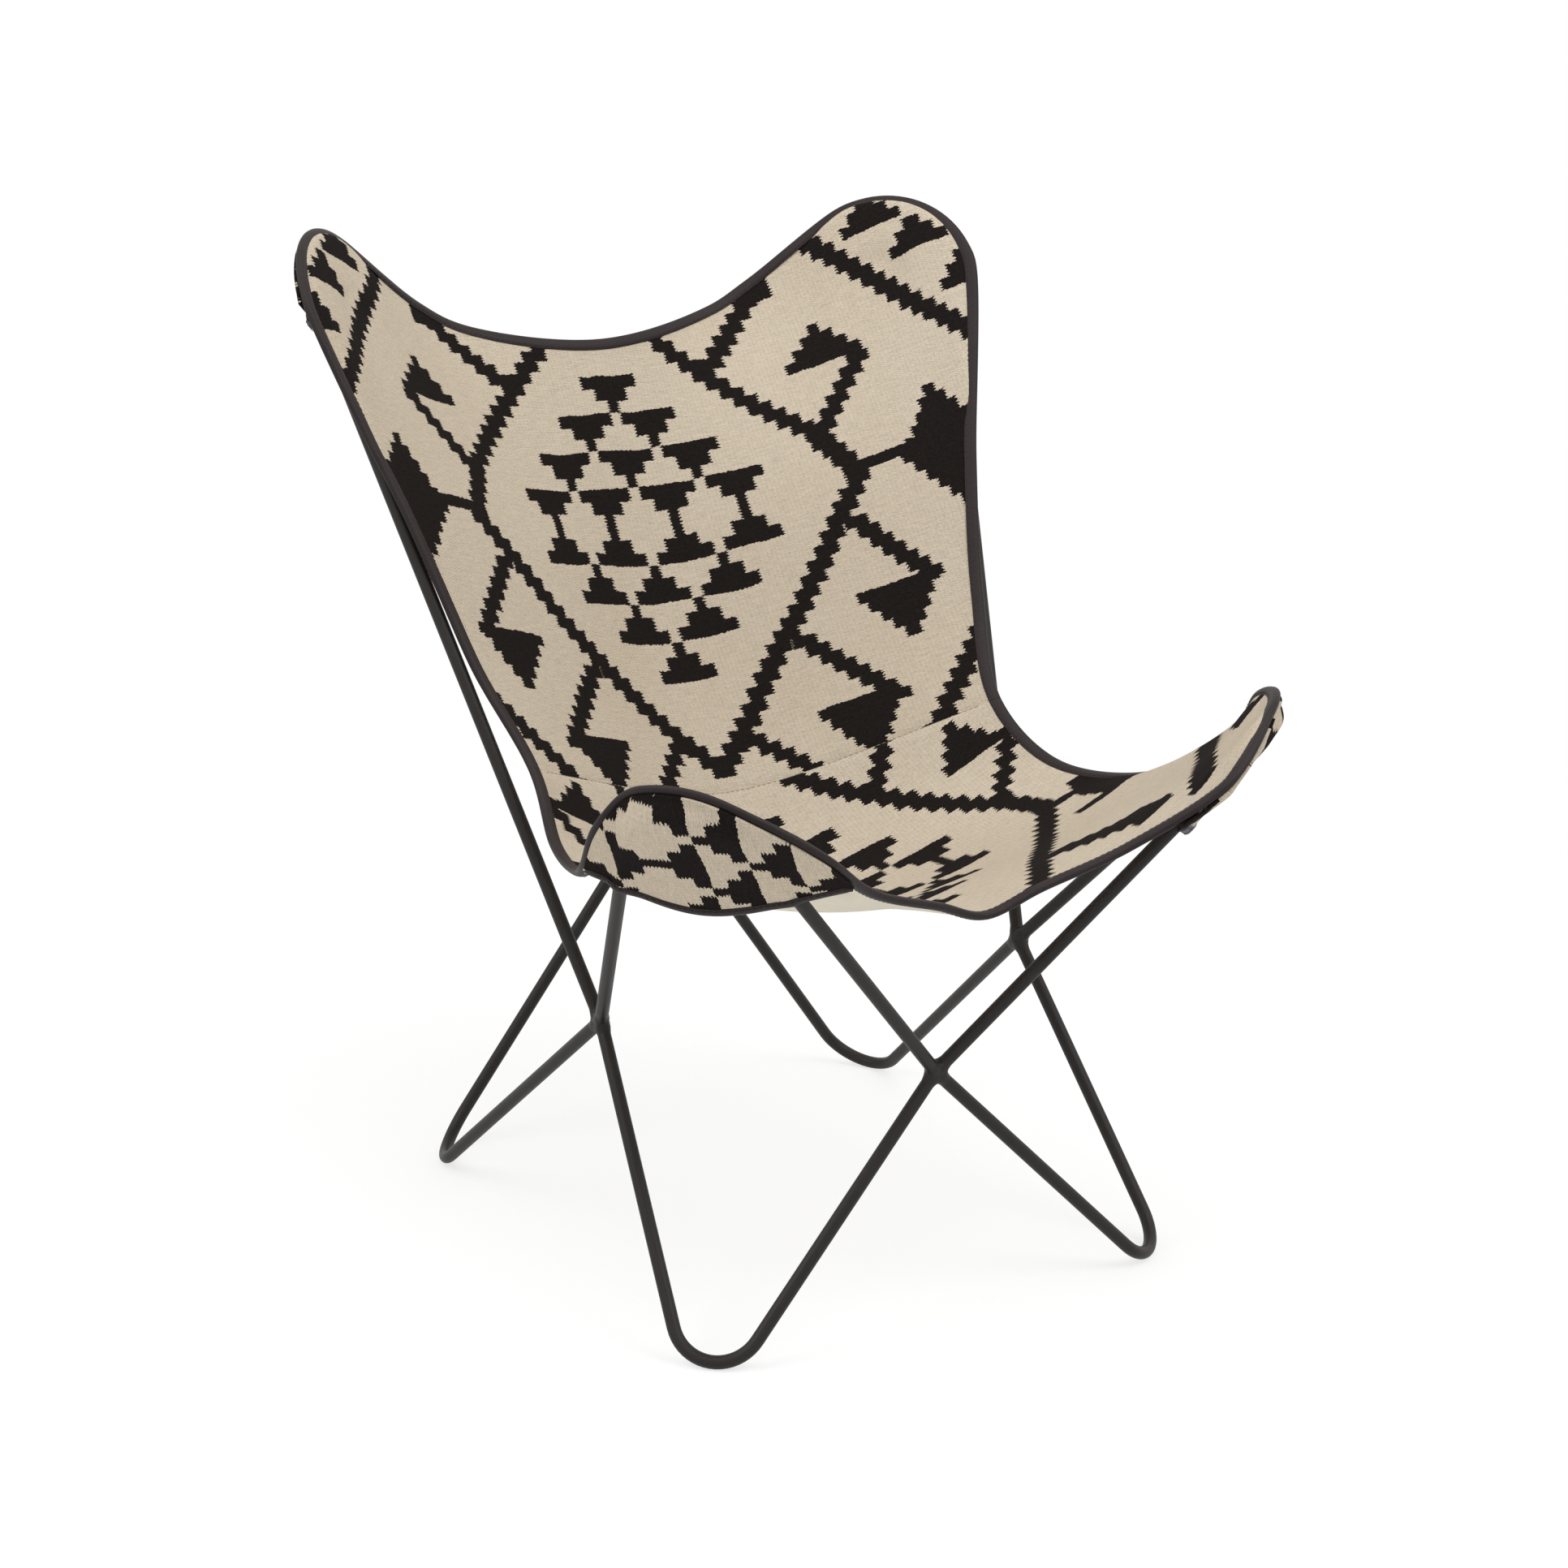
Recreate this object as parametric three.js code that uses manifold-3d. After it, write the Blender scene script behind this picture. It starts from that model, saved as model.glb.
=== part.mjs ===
// Butterfly sling chair: a welded frame of bent steel rod carries a woven cover by four corner pockets.
// Millimetres, +Z up. The chair stands on the floor at z = 0 and faces -Y; "left" is the sitter's left, +X.
// The chair is symmetric about the plane x = 0, so each side piece is made for the left and mirrored.

import * as THREE from 'three';
import { mergeVertices } from 'three/addons/utils/BufferGeometryUtils.js';
import Module from 'manifold-3d';

const wasm = await Module();
wasm.setup();

const v3 = (x, y, z) => new THREE.Vector3(x, y, z);
const LEFT = 1;
const RIGHT = -1;

// Frame: driving dimensions

const ROD_DIAMETER = 12;
const ROD_SIDES = 12;
const BEND_STEPS = 8;
const FIT_GAP = 0.3; // between pieces that touch

// Each bent rod runs from one weld to a corner, where its legs would meet if the bend were sharp, and on
// to the next weld. Feet corners are given in plan; their height is what sets the bend on the floor.
const FRONT_FOOT_X = 254;
const FRONT_FOOT_Y = -289;
const FRONT_FOOT_BEND = 40;
const REAR_FOOT_X = 260;
const REAR_FOOT_Y = 285;
const REAR_FOOT_BEND = 45;
const FRONT_WING_X = 356;
const FRONT_WING_Y = -403;
const FRONT_WING_Z = 629;
const FRONT_WING_BEND = 55;
const BACK_WING_X = 394;
const BACK_WING_Y = 436;
const BACK_WING_Z = 1136;
const BACK_WING_BEND = 69.5;

const FRONT_WELD_INSIDE_FEET = 35;
const FRONT_WELD_Z = 221;
const REAR_WELD_INSIDE_FEET = 22;
const REAR_WELD_Z = 328;
const SIDE_WELD_X = 222;
const SIDE_WELD_Y = -52;
const SIDE_WELD_Z = 242;

const FRONT_WING_CORNER = v3(FRONT_WING_X, FRONT_WING_Y, FRONT_WING_Z);
const BACK_WING_CORNER = v3(BACK_WING_X, BACK_WING_Y, BACK_WING_Z);
const FRONT_WELD = v3(0, FRONT_FOOT_Y + FRONT_WELD_INSIDE_FEET, FRONT_WELD_Z);
const REAR_WELD = v3(0, REAR_FOOT_Y - REAR_WELD_INSIDE_FEET, REAR_WELD_Z);
const SIDE_WELD = v3(SIDE_WELD_X, SIDE_WELD_Y, SIDE_WELD_Z);
const WELD_REACH = 18; // from the crossing to where each rod starts
const WELD_WEB = 9; // thickness of the filler between two rods
const WELD_NOTCH = 0.45; // how far the filler's hollow edge is drawn in, as a share of its reach

// Cover: driving dimensions

const KILIM = 2.4; // thickness of the woven face cloth
const LINING = 1.0;
const LEATHER = 1.3;
const BINDING_WIDTH = 12;
const BINDING_NOSE = 2.6; // how much the folded edge is rounded back
const SLOT_SLACK = 1.1; // between the cloth and the leather folded over it
// Round each wing tip the bound edge is a circle: its radius, how far it lies outside the rod at the tip's
// middle, and its height over the rod's plane.
const BACK_TIP = { radius: 104.5, beyond: 21.6, height: 4 };
const FRONT_TIP = { radius: 74, beyond: 19, height: 10.15 };
const LAYER_GAP = 0.15; // from the cover's middle surface to each of its two layers
const SEAM_GAP = 0.15; // from the sewn seam to each of its two panels
const REST_MARGIN = 0.3; // spare height of the cover over a rod, for its flat facets

// Angles round a wing tip, from its middle, that the bound edge follows: towards the chair's middle plane
// and towards its side.
const BACK_TIP_ANGLES = [-30, -15, 0, 15, 30, 45, 60, 72];
const FRONT_TIP_ANGLES = [-50, -25, 0, 22];

// Top edge: share of the way from the middle to the wing tip, set-back and drop from the tip.
const TOP_EDGE = [
  { share: 0, back: 41, drop: 128 },
  { share: 0.43, back: 61, drop: 108 },
  { share: 0.58, back: 61, drop: 84 },
];
// Side edge: share of the way from back tip to front tip, offset outwards and drop from the straight line.
const SIDE_EDGE = [
  { along: 0.268, out: 0, drop: 142 },
  { along: 0.363, out: -30, drop: 230 },
  { along: 0.464, out: -52, drop: 276, seam: true },
  { along: 0.569, out: -34, drop: 283 },
  { along: 0.714, out: -5, drop: 225 },
  { along: 0.805, out: 19, drop: 164 },
  { along: 0.873, out: 32, drop: 94 },
];
// Front edge: share of the way from the middle to the wing tip, and how far ahead of and below the tip.
const FRONT_EDGE = [
  { share: 0.686, ahead: 57, drop: 50 },
  { share: 0.427, ahead: 21, drop: 106.5 },
  { share: 0.17, ahead: 2, drop: 135.5 },
  { share: 0, ahead: -5, drop: 153.5 },
];
// Middle line from the top edge to the front edge: share of the way, and sag below the straight line.
const MIDDLE_LINE = [
  { along: 0.143, sag: 128 },
  { along: 0.262, sag: 202 },
  { along: 0.385, sag: 246, seam: true },
  { along: 0.47, sag: 250 },
  { along: 0.58, sag: 228 },
  { along: 0.71, sag: 166 },
  { along: 0.83, sag: 93 },
];
const CROSS_ROUND = 0.28; // roundness of the hollow across the cover: small is a V, large a parabola
const EDGE_FADE = 0.55; // share of a panel over which its free edge's own curve fades out

// Pockets: where each hem crosses the two legs of its wing, as a share of the leg from weld to corner.
const FRONT_HEM_AT_SIDE_LEG = 0.475;
const FRONT_HEM_AT_MIDDLE_LEG = 0.515;
const BACK_HEM_AT_SIDE_LEG = 0.645;
const BACK_HEM_AT_MIDDLE_LEG = 0.573;
const BACK_POCKET_END = 0.2; // where a back pocket ends on the side edge, as a share from tip to seam
const FRONT_POCKET_FROM = 0.5; // where a front pocket starts, as a share of the front edge from the middle
const FRONT_POCKET_TO = 0.6; // and ends, as a share of the side edge from the seam
// Profile of a pocket inwards from the bound edge: how far in, and how far below the cover's middle surface
// where it goes round the rod and where it lies flat under the edge.
const POCKET_PROFILE = [
  { inset: 2, round: 5, flatInset: 1.5, flat: 8 },
  { inset: 8, round: 14.2, flatInset: 2.5, flat: 8 },
  { inset: 19, round: 20, flatInset: 3.5, flat: 8 },
];
const FRONT_POCKET_END = 7; // from the bound edge to the hem at each end of a front pocket
const BACK_POCKET_DROP = 28; // and of a back pocket
const HEM_NARROWEST = 4; // width of the hem's leather at an end that is tucked under the binding
const HEM_TUCK = 1; // from the leather to the pocket's sewn edge there
const HEM_FLAT = BINDING_WIDTH + 2; // the pocket runs straight for this length before its hem
// Half the width of a pocket that lies fully clear of its rod, and radius of the curve at which it draws in
// again beside it.
const POCKET_OFF_ROD = { flat: 11, fall: 36 };
const POCKET_BULGE = 8; // outward swell of a hem between the two legs

// Mesh counts
const ACROSS = 22; // cells across a panel, from side to side
const BACK_ROWS = 14;
const SEAT_ROWS = 15;
const POCKET_COLUMNS = 3; // to each cell of the rim
const POCKET_ROWS = 4; // below the profile round the rod

const BLACK_STEEL = new THREE.MeshStandardMaterial({ color: 0x1c1a19, roughness: 0.55, metalness: 0.6 });
const WOVEN_KILIM = new THREE.MeshStandardMaterial({ color: 0xcfc2ab, roughness: 0.95, metalness: 0 });
const PLAIN_CANVAS = new THREE.MeshStandardMaterial({ color: 0xd9d2bd, roughness: 0.95, metalness: 0 });
const DARK_LEATHER = new THREE.MeshStandardMaterial({ color: 0x2d2729, roughness: 0.5, metalness: 0 });

const chair = new THREE.Group();

function addPiece(name, geometry, material) {
  const mesh = new THREE.Mesh(geometry, material);
  mesh.name = name;
  chair.add(mesh);
}

// General geometry

const mirrored = (p, side) => v3(p.x * side, p.y, p.z);
const blend = (a, b, share) => a.clone().lerp(b, share);
const direction = (from, to) => to.clone().sub(from).normalize();
const across = (vector, axis) => vector.clone().addScaledVector(axis, -vector.dot(axis)).normalize();

function geometryOf(points, faces) {
  const geometry = new THREE.BufferGeometry();
  geometry.setAttribute('position', new THREE.Float32BufferAttribute(points.flatMap((p) => p.toArray()), 3));
  geometry.setIndex(faces.flat());
  return geometry;
}

// Solid through a row of closed rings with the same number of points. The cap lists the triangles that close
// each end. Each four-sided face is split one way or, where splitOther says so, the other.
function solidThroughRings(rings, cap, splitOther = () => false) {
  const sides = rings[0].length;
  const faces = [];
  for (let ring = 0; ring + 1 < rings.length; ring += 1) {
    for (let side = 0; side < sides; side += 1) {
      const a = ring * sides + side;
      const b = ring * sides + ((side + 1) % sides);
      if (splitOther(ring, side)) faces.push([a, b, a + sides], [b, b + sides, a + sides]);
      else faces.push([a, b, b + sides], [a, b + sides, a + sides]);
    }
  }
  const last = (rings.length - 1) * sides;
  cap.forEach(([a, b, c]) => faces.push([a, c, b], [last + a, last + b, last + c]));
  return facingOut(geometryOf(rings.flat(), faces));
}

function facingOut(geometry) {
  const position = geometry.getAttribute('position');
  const index = geometry.getIndex();
  const [a, b, c] = [v3(0, 0, 0), v3(0, 0, 0), v3(0, 0, 0)];
  let volume = 0;
  for (let i = 0; i < index.count; i += 3) {
    a.fromBufferAttribute(position, index.getX(i));
    b.fromBufferAttribute(position, index.getX(i + 1));
    c.fromBufferAttribute(position, index.getX(i + 2));
    volume += a.dot(b.cross(c));
  }
  if (volume < 0) {
    for (let i = 0; i < index.count; i += 3) {
      const second = index.getX(i + 1);
      index.setX(i + 1, index.getX(i + 2));
      index.setX(i + 2, second);
    }
  }
  return geometry;
}

// Frame: a bent rod has two straight legs and a round bend, all in one plane

const ROD = ROD_DIAMETER / 2;

function bendOf(start, corner, end, radius) {
  const toStart = direction(corner, start);
  const toEnd = direction(corner, end);
  const half = toStart.angleTo(toEnd) / 2;
  const inwards = toStart.clone().add(toEnd).normalize();
  const sideways = toEnd.clone().sub(toStart).normalize();
  const centre = corner.clone().addScaledVector(inwards, radius / Math.sin(half));
  const normal = toStart.clone().cross(toEnd).normalize();
  return { start, corner, end, radius, centre, inwards, sideways, normal, sweep: Math.PI - 2 * half };
}

// Direction from the bend's centre at an angle from the middle of the bend, towards its end leg.
function bendDirection(bend, angle) {
  return bend.inwards.clone().multiplyScalar(-Math.cos(angle)).addScaledVector(bend.sideways, Math.sin(angle));
}

// Places along the rod's centre line, each with the outward direction in the rod's plane.
function rodStations(bend, steps, lowest) {
  const stations = [];
  for (let step = 0; step <= steps; step += 1) {
    const angle = lowest + bend.sweep * (step / steps - 0.5);
    const clamped = THREE.MathUtils.clamp(angle, -bend.sweep / 2, bend.sweep / 2);
    const outwards = bendDirection(bend, clamped);
    stations.push({ point: bend.centre.clone().addScaledVector(outwards, bend.radius), outwards });
  }
  return stations;
}

function roundCap(sides) {
  const cap = [];
  for (let side = 1; side + 1 < sides; side += 1) cap.push([0, side, side + 1]);
  return cap;
}

function rodGeometry(bend, phase, lowest = 0) {
  const first = { point: blendFromWeld(bend.start, bend.corner), outwards: bendDirection(bend, -bend.sweep / 2) };
  const last = { point: blendFromWeld(bend.end, bend.corner), outwards: bendDirection(bend, bend.sweep / 2) };
  const rings = [first, ...rodStations(bend, BEND_STEPS + 1, lowest), last].map(({ point, outwards }) => {
    const ring = [];
    for (let side = 0; side < ROD_SIDES; side += 1) {
      const angle = phase + ((side + 0.5) * 2 * Math.PI) / ROD_SIDES;
      ring.push(point.clone()
        .addScaledVector(outwards, ROD * Math.cos(angle))
        .addScaledVector(bend.normal, ROD * Math.sin(angle)));
    }
    return ring;
  });
  return solidThroughRings(rings, roundCap(ROD_SIDES));
}

const blendFromWeld = (weld, corner) =>
  weld.clone().addScaledVector(direction(weld, corner), WELD_REACH + FIT_GAP);

// A foot is turned about its own line so that one facet of its lowest step lies flat on the floor, and its
// corner is lowered or raised until that facet is at z = 0.
function footOnFloor(start, cornerX, cornerY, end, radius) {
  const down = v3(0, 0, -1);
  let cornerZ = -radius;
  let foot;
  for (let pass = 0; pass < 30; pass += 1) {
    const bend = bendOf(start, v3(cornerX, cornerY, cornerZ), end, radius);
    const lowest = Math.atan2(down.dot(bend.sideways), -down.dot(bend.inwards));
    const lowPoint = bendDirection(bend, lowest);
    const lean = Math.atan2(down.dot(bend.normal), down.dot(lowPoint));
    const halfStep = bend.sweep / (BEND_STEPS + 1) / 2;
    const phase = Math.atan(Math.tan(lean) / Math.cos(halfStep));
    const geometry = rodGeometry(bend, phase, lowest);
    geometry.computeBoundingBox();
    foot = { bend, geometry };
    cornerZ -= geometry.boundingBox.min.z;
  }
  return foot;
}

const sideWeld = (side) => mirrored(SIDE_WELD, side);
const wings = {};
const arms = { weld_front: [], weld_rear: [], weld_left: [], weld_right: [] };
const weldAt = {
  weld_front: FRONT_WELD,
  weld_rear: REAR_WELD,
  weld_left: sideWeld(LEFT),
  weld_right: sideWeld(RIGHT),
};

for (const [sideName, side] of [['left', LEFT], ['right', RIGHT]]) {
  const rods = [
    ['front_foot', FRONT_WELD, footOnFloor(
      sideWeld(side), side * FRONT_FOOT_X, FRONT_FOOT_Y, FRONT_WELD, FRONT_FOOT_BEND)],
    ['rear_foot', REAR_WELD, footOnFloor(
      sideWeld(side), side * REAR_FOOT_X, REAR_FOOT_Y, REAR_WELD, REAR_FOOT_BEND)],
    ['front_wing', FRONT_WELD, wingRod('front', FRONT_WING_CORNER, FRONT_WELD, FRONT_WING_BEND, side)],
    ['back_wing', REAR_WELD, wingRod('back', BACK_WING_CORNER, REAR_WELD, BACK_WING_BEND, side)],
  ];
  for (const [rodName, middleWeld, rod] of rods) {
    addPiece(`${rodName}_rod_${sideName}`, rod.geometry, BLACK_STEEL);
    arms[`weld_${sideName}`].push(direction(sideWeld(side), rod.bend.corner));
    arms[middleWeld === FRONT_WELD ? 'weld_front' : 'weld_rear'].push(direction(middleWeld, rod.bend.corner));
  }
}

function wingRod(name, corner, middleWeld, radius, side) {
  const bend = bendOf(sideWeld(side), mirrored(corner, side), middleWeld, radius);
  if (side === LEFT) wings[name] = bend;
  return { bend, geometry: rodGeometry(bend, 0) };
}

// Welds: four rods meet end to end, with filler ground to a hollow curve in each of the four corners

function solidOf(geometry) {
  const bare = geometry.index ? geometry.clone() : geometry;
  bare.deleteAttribute('normal');
  bare.deleteAttribute('uv');
  const merged = mergeVertices(bare, 1e-4);
  return new wasm.Manifold(new wasm.Mesh({
    numProp: 3,
    vertProperties: new Float32Array(merged.getAttribute('position').array),
    triVerts: new Uint32Array(merged.getIndex().array),
  }));
}

function geometryFromSolid(solid) {
  const mesh = solid.getMesh();
  const geometry = new THREE.BufferGeometry();
  geometry.setAttribute('position', new THREE.Float32BufferAttribute(mesh.vertProperties, 3));
  geometry.setIndex(Array.from(mesh.triVerts));
  return geometry;
}

function weldArm(centre, along) {
  const arm = new THREE.CylinderGeometry(ROD, ROD, WELD_REACH, ROD_SIDES);
  arm.translate(0, WELD_REACH / 2, 0);
  arm.applyQuaternion(new THREE.Quaternion().setFromUnitVectors(v3(0, 1, 0), along));
  arm.translate(centre.x, centre.y, centre.z);
  return solidOf(arm);
}

function weldWeb(centre, one, other) {
  const square = across(other, one);
  const reach = WELD_REACH - FIT_GAP;
  const tip = new THREE.Vector2(other.dot(one), other.dot(square)).multiplyScalar(reach);
  const notch = new THREE.Vector2(reach, 0).add(tip).multiplyScalar(WELD_NOTCH / 2);
  const outline = new THREE.Shape().moveTo(0, 0).lineTo(reach, 0);
  outline.quadraticCurveTo(notch.x, notch.y, tip.x, tip.y);
  const web = new THREE.ExtrudeGeometry(outline, { depth: WELD_WEB, bevelEnabled: false, curveSegments: 6 });
  web.translate(0, 0, -WELD_WEB / 2);
  web.applyMatrix4(new THREE.Matrix4().makeBasis(one, square, one.clone().cross(square)));
  web.translate(centre.x, centre.y, centre.z);
  return solidOf(web);
}

for (const [name, along] of Object.entries(arms)) {
  const centre = weldAt[name];
  const axis = along[0].clone().add(along[1]).cross(along[2].clone().sub(along[3])).normalize();
  const turned = (arm) => Math.atan2(
    axis.clone().cross(along[0]).dot(arm), along[0].dot(arm));
  const ordered = [...along].sort((a, b) => turned(a) - turned(b));
  let weld = solidOf(new THREE.SphereGeometry(ROD, ROD_SIDES, ROD_SIDES / 2).translate(centre.x, centre.y, centre.z));
  ordered.forEach((arm, i) => {
    weld = weld.add(weldArm(centre, arm)).add(weldWeb(centre, arm, ordered[(i + 1) % ordered.length]));
  });
  addPiece(name, geometryFromSolid(weld), BLACK_STEEL);
}

// Cover: curves that the bound edge, the side edges and the middle line follow, on the left half

const STACK_ABOVE = LAYER_GAP + KILIM;
const STACK_BELOW = LAYER_GAP + LINING;
const LEATHER_ABOVE = STACK_ABOVE + SLOT_SLACK + LEATHER;
const LEATHER_BELOW = STACK_BELOW + SLOT_SLACK + LEATHER;
const REST = ROD + FIT_GAP + REST_MARGIN + LEATHER_BELOW; // height of the cover's middle surface over a rod
const EDGE_INSET = LEATHER + SLOT_SLACK; // from the bound edge to the edge of the cloth

// The side of a wing's plane that the sitter is on.
function innerNormal(wing) {
  const towardsMiddle = wing.normal.x < 0 ? 1 : -1;
  return wing.normal.clone().multiplyScalar(towardsMiddle);
}

function tipPoint(wing, tip, degrees) {
  return wing.centre.clone()
    .addScaledVector(wing.inwards, tip.radius - tip.beyond - wing.radius)
    .addScaledVector(bendDirection(wing, THREE.MathUtils.degToRad(degrees)), tip.radius)
    .addScaledVector(innerNormal(wing), tip.height);
}

// A wing's end leg is the one at the middle weld, so angles towards the side are negative there.
const backTip = BACK_TIP_ANGLES.map((degrees) => tipPoint(wings.back, BACK_TIP, -degrees));
const frontTip = FRONT_TIP_ANGLES.map((degrees) => tipPoint(wings.front, FRONT_TIP, degrees));
const BACK_MIDDLE = BACK_TIP_ANGLES.indexOf(0);
const FRONT_MIDDLE = FRONT_TIP_ANGLES.indexOf(0);
const backApex = backTip[BACK_MIDDLE];
const frontApex = frontTip[FRONT_MIDDLE];

const topPoints = TOP_EDGE.map(({ share, back, drop }) =>
  v3(share * backApex.x, backApex.y + back, backApex.z - drop));
const sidePoints = SIDE_EDGE.map(({ along, out, drop }) =>
  blend(backApex, frontApex, along).add(v3(out, 0, -drop)));
const frontPoints = FRONT_EDGE.map(({ share, ahead, drop }) =>
  v3(share * frontApex.x, frontApex.y - ahead, frontApex.z - drop));
const topMiddle = topPoints[0];
const frontMiddle = frontPoints[FRONT_EDGE.length - 1];
const middlePoints = MIDDLE_LINE.map(({ along, sag }) =>
  blend(topMiddle, frontMiddle, along).add(v3(0, 0, -sag)));

// Smooth curve through points; the part between two of its points is read by share of its length.
function curveThrough(points, from, to) {
  const curve = new THREE.CatmullRomCurve3(points, false, 'centripetal');
  const samples = [];
  const perSpan = 24;
  for (let i = from * perSpan; i <= to * perSpan; i += 1) {
    samples.push(curve.getPoint(i / perSpan / (points.length - 1)));
  }
  const lengths = [0];
  for (let i = 1; i < samples.length; i += 1) {
    lengths.push(lengths[i - 1] + samples[i].distanceTo(samples[i - 1]));
  }
  const total = lengths[lengths.length - 1];
  const readAt = (target, measure) => {
    let i = 1;
    while (i < samples.length - 1 && measure(i) < target) i += 1;
    const span = measure(i) - measure(i - 1);
    return blend(samples[i - 1], samples[i], span === 0 ? 0 : (target - measure(i - 1)) / span);
  };
  return {
    total,
    at: (share) => readAt(share * total, (i) => lengths[i]),
    atX: (x) => readAt(x, (i) => samples[i].x),
  };
}

const mirrorOf = (p) => mirrored(p, RIGHT);
const seamOnSide = SIDE_EDGE.findIndex((p) => p.seam);
const seamOnMiddle = MIDDLE_LINE.findIndex((p) => p.seam);

const topRun = [mirrorOf(topPoints[1]), ...topPoints, ...backTip];
const topEdge = curveThrough(topRun, 1, 1 + TOP_EDGE.length + BACK_MIDDLE);
const rearRun = [topPoints[2], ...backTip, ...sidePoints];
const firstSide = 1 + backTip.length;
const rearSide = curveThrough(rearRun, 1 + BACK_MIDDLE, firstSide + seamOnSide);
const foreRun = [...backTip.slice(-1), ...sidePoints, ...frontTip, ...frontPoints];
const foreSide = curveThrough(foreRun, 1 + seamOnSide, 1 + sidePoints.length + FRONT_MIDDLE);
const frontRun = [mirrorOf(frontPoints[2]), ...[...frontPoints].reverse(), ...[...frontTip].reverse(), sidePoints[6]];
const frontEdge = curveThrough(frontRun, 1, 1 + frontPoints.length + (frontTip.length - 1 - FRONT_MIDDLE));
const middleRun = [topMiddle, ...middlePoints, frontMiddle];
const rearMiddle = curveThrough(middleRun, 0, 1 + seamOnMiddle);
const foreMiddle = curveThrough(middleRun, 1 + seamOnMiddle, middleRun.length - 1);

// Surface: at each share of the way down, the cover hollows from its two side edges to the middle line;
// its free edge, at the top of the back and the front of the seat, bends the nearer part to its own curve.

const hollow = (s) => (Math.hypot(s, CROSS_ROUND) - CROSS_ROUND) / (Math.hypot(1, CROSS_ROUND) - CROSS_ROUND);

function hungPoint(s, edge, middle) {
  const share = hollow(s);
  return v3(s * edge.x, middle.y + share * (edge.y - middle.y), middle.z + share * (edge.z - middle.z));
}

function panelSurface(side, middle, freeEdge, freeAt) {
  return (s, t) => {
    const size = Math.abs(s);
    const point = hungPoint(size, side.at(t), middle.at(t));
    const fade = THREE.MathUtils.smoothstep(1 - Math.abs(t - freeAt), 1 - EDGE_FADE, 1);
    const atEdge = hungPoint(size, side.at(freeAt), middle.at(freeAt));
    const wanted = freeEdge.atX(atEdge.x);
    point.add(wanted.sub(atEdge).multiplyScalar(fade));
    return mirrored(overRods(point), s < 0 ? RIGHT : LEFT);
  };
}

// The cloth lies over the rods of both wings: near a rod it is lifted to rest on it.
// Half the width that is lifted in full, and radius of the curve at which the lift falls away: by any rod, and
// between a back wing's rod and the bound edge, which curls down there.
const REST_WIDE = { flat: 16, fall: 90 };
const REST_BY_BACK_TIP = { flat: 8, fall: 12 };
const REST_SOFT = 2; // rounding where the lifted cloth leaves the rod

// How far a point is from the rod as seen square to the wing's plane: positive outside the rod's curve.
function distanceToRod(wing, point) {
  const inPlane = point.clone().addScaledVector(wing.normal, wing.centre.clone().sub(point).dot(wing.normal));
  const outwards = inPlane.clone().sub(wing.centre);
  const angle = Math.atan2(outwards.dot(wing.sideways), -outwards.dot(wing.inwards));
  if (Math.abs(angle) <= wing.sweep / 2) return outwards.length() - wing.radius;
  const leg = new THREE.Line3(angle < 0 ? wing.start : wing.end, wing.corner);
  const outside = inPlane.clone().sub(wing.corner).dot(bendDirection(wing, Math.sign(angle) * wing.sweep / 2)) > 0;
  return leg.closestPointToPoint(inPlane, true, v3(0, 0, 0)).distanceTo(inPlane) * (outside ? 1 : -1);
}

function liftOffRod(wing, point, outwards, clear, inside, outside = inside) {
  const height = point.clone().sub(wing.centre).dot(outwards);
  const distance = distanceToRod(wing, point);
  const { flat, fall } = distance > 0 ? outside : inside;
  const past = Math.max(0, Math.abs(distance) - flat);
  const needed = clear - past ** 2 / (2 * fall);
  const lifted = (height + needed + Math.hypot(height - needed, REST_SOFT)) / 2;
  return point.clone().addScaledVector(outwards, lifted - height);
}

function overRods(point) {
  const overBack = liftOffRod(wings.back, point, innerNormal(wings.back), REST, REST_WIDE, REST_BY_BACK_TIP);
  return liftOffRod(wings.front, overBack, innerNormal(wings.front), REST, REST_WIDE);
}

const backSurface = panelSurface(rearSide, rearMiddle, topEdge, 0);
const seatSurface = panelSurface(foreSide, foreMiddle, frontEdge, 1);

// Panels: a grid of points on the surface, with the frame of the bound edge at each point of its rim

function panelGrid(surface, down, freeAt, seamInset) {
  const rows = [];
  for (let j = 0; j <= down; j += 1) {
    const t = freeAt === 0 ? (j / down) * (1 - seamInset) : seamInset + (j / down) * (1 - seamInset);
    const row = [];
    for (let i = 0; i <= ACROSS; i += 1) row.push(surface((2 * i) / ACROSS - 1, t));
    rows.push(row);
  }
  const freeRow = freeAt === 0 ? 0 : down;
  const inside = freeAt === 0 ? 1 : down - 1;
  const rim = [];
  const seamRow = down - freeRow;
  const step = freeAt === 0 ? -1 : 1;
  for (let j = seamRow; j !== freeRow; j += step) rim.push({ i: 0, j, inner: rows[j][1] });
  rim.push({ i: 0, j: freeRow, inner: rows[inside][1] });
  for (let i = 1; i < ACROSS; i += 1) rim.push({ i, j: freeRow, inner: rows[inside][i] });
  rim.push({ i: ACROSS, j: freeRow, inner: rows[inside][ACROSS - 1] });
  for (let j = freeRow - step; j !== seamRow - step; j -= step) rim.push({ i: ACROSS, j, inner: rows[j][ACROSS - 1] });
  rim.forEach((place) => { place.edge = rows[place.j][place.i].clone(); });
  frameRim(rim);
  const above = freeAt === 0 ? -1 : 1;
  rim.forEach((place) => {
    place.normal.multiplyScalar(above);
    rows[place.j][place.i].addScaledVector(place.inwards, EDGE_INSET);
  });
  return { rows, rim, freeAt };
}

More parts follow.
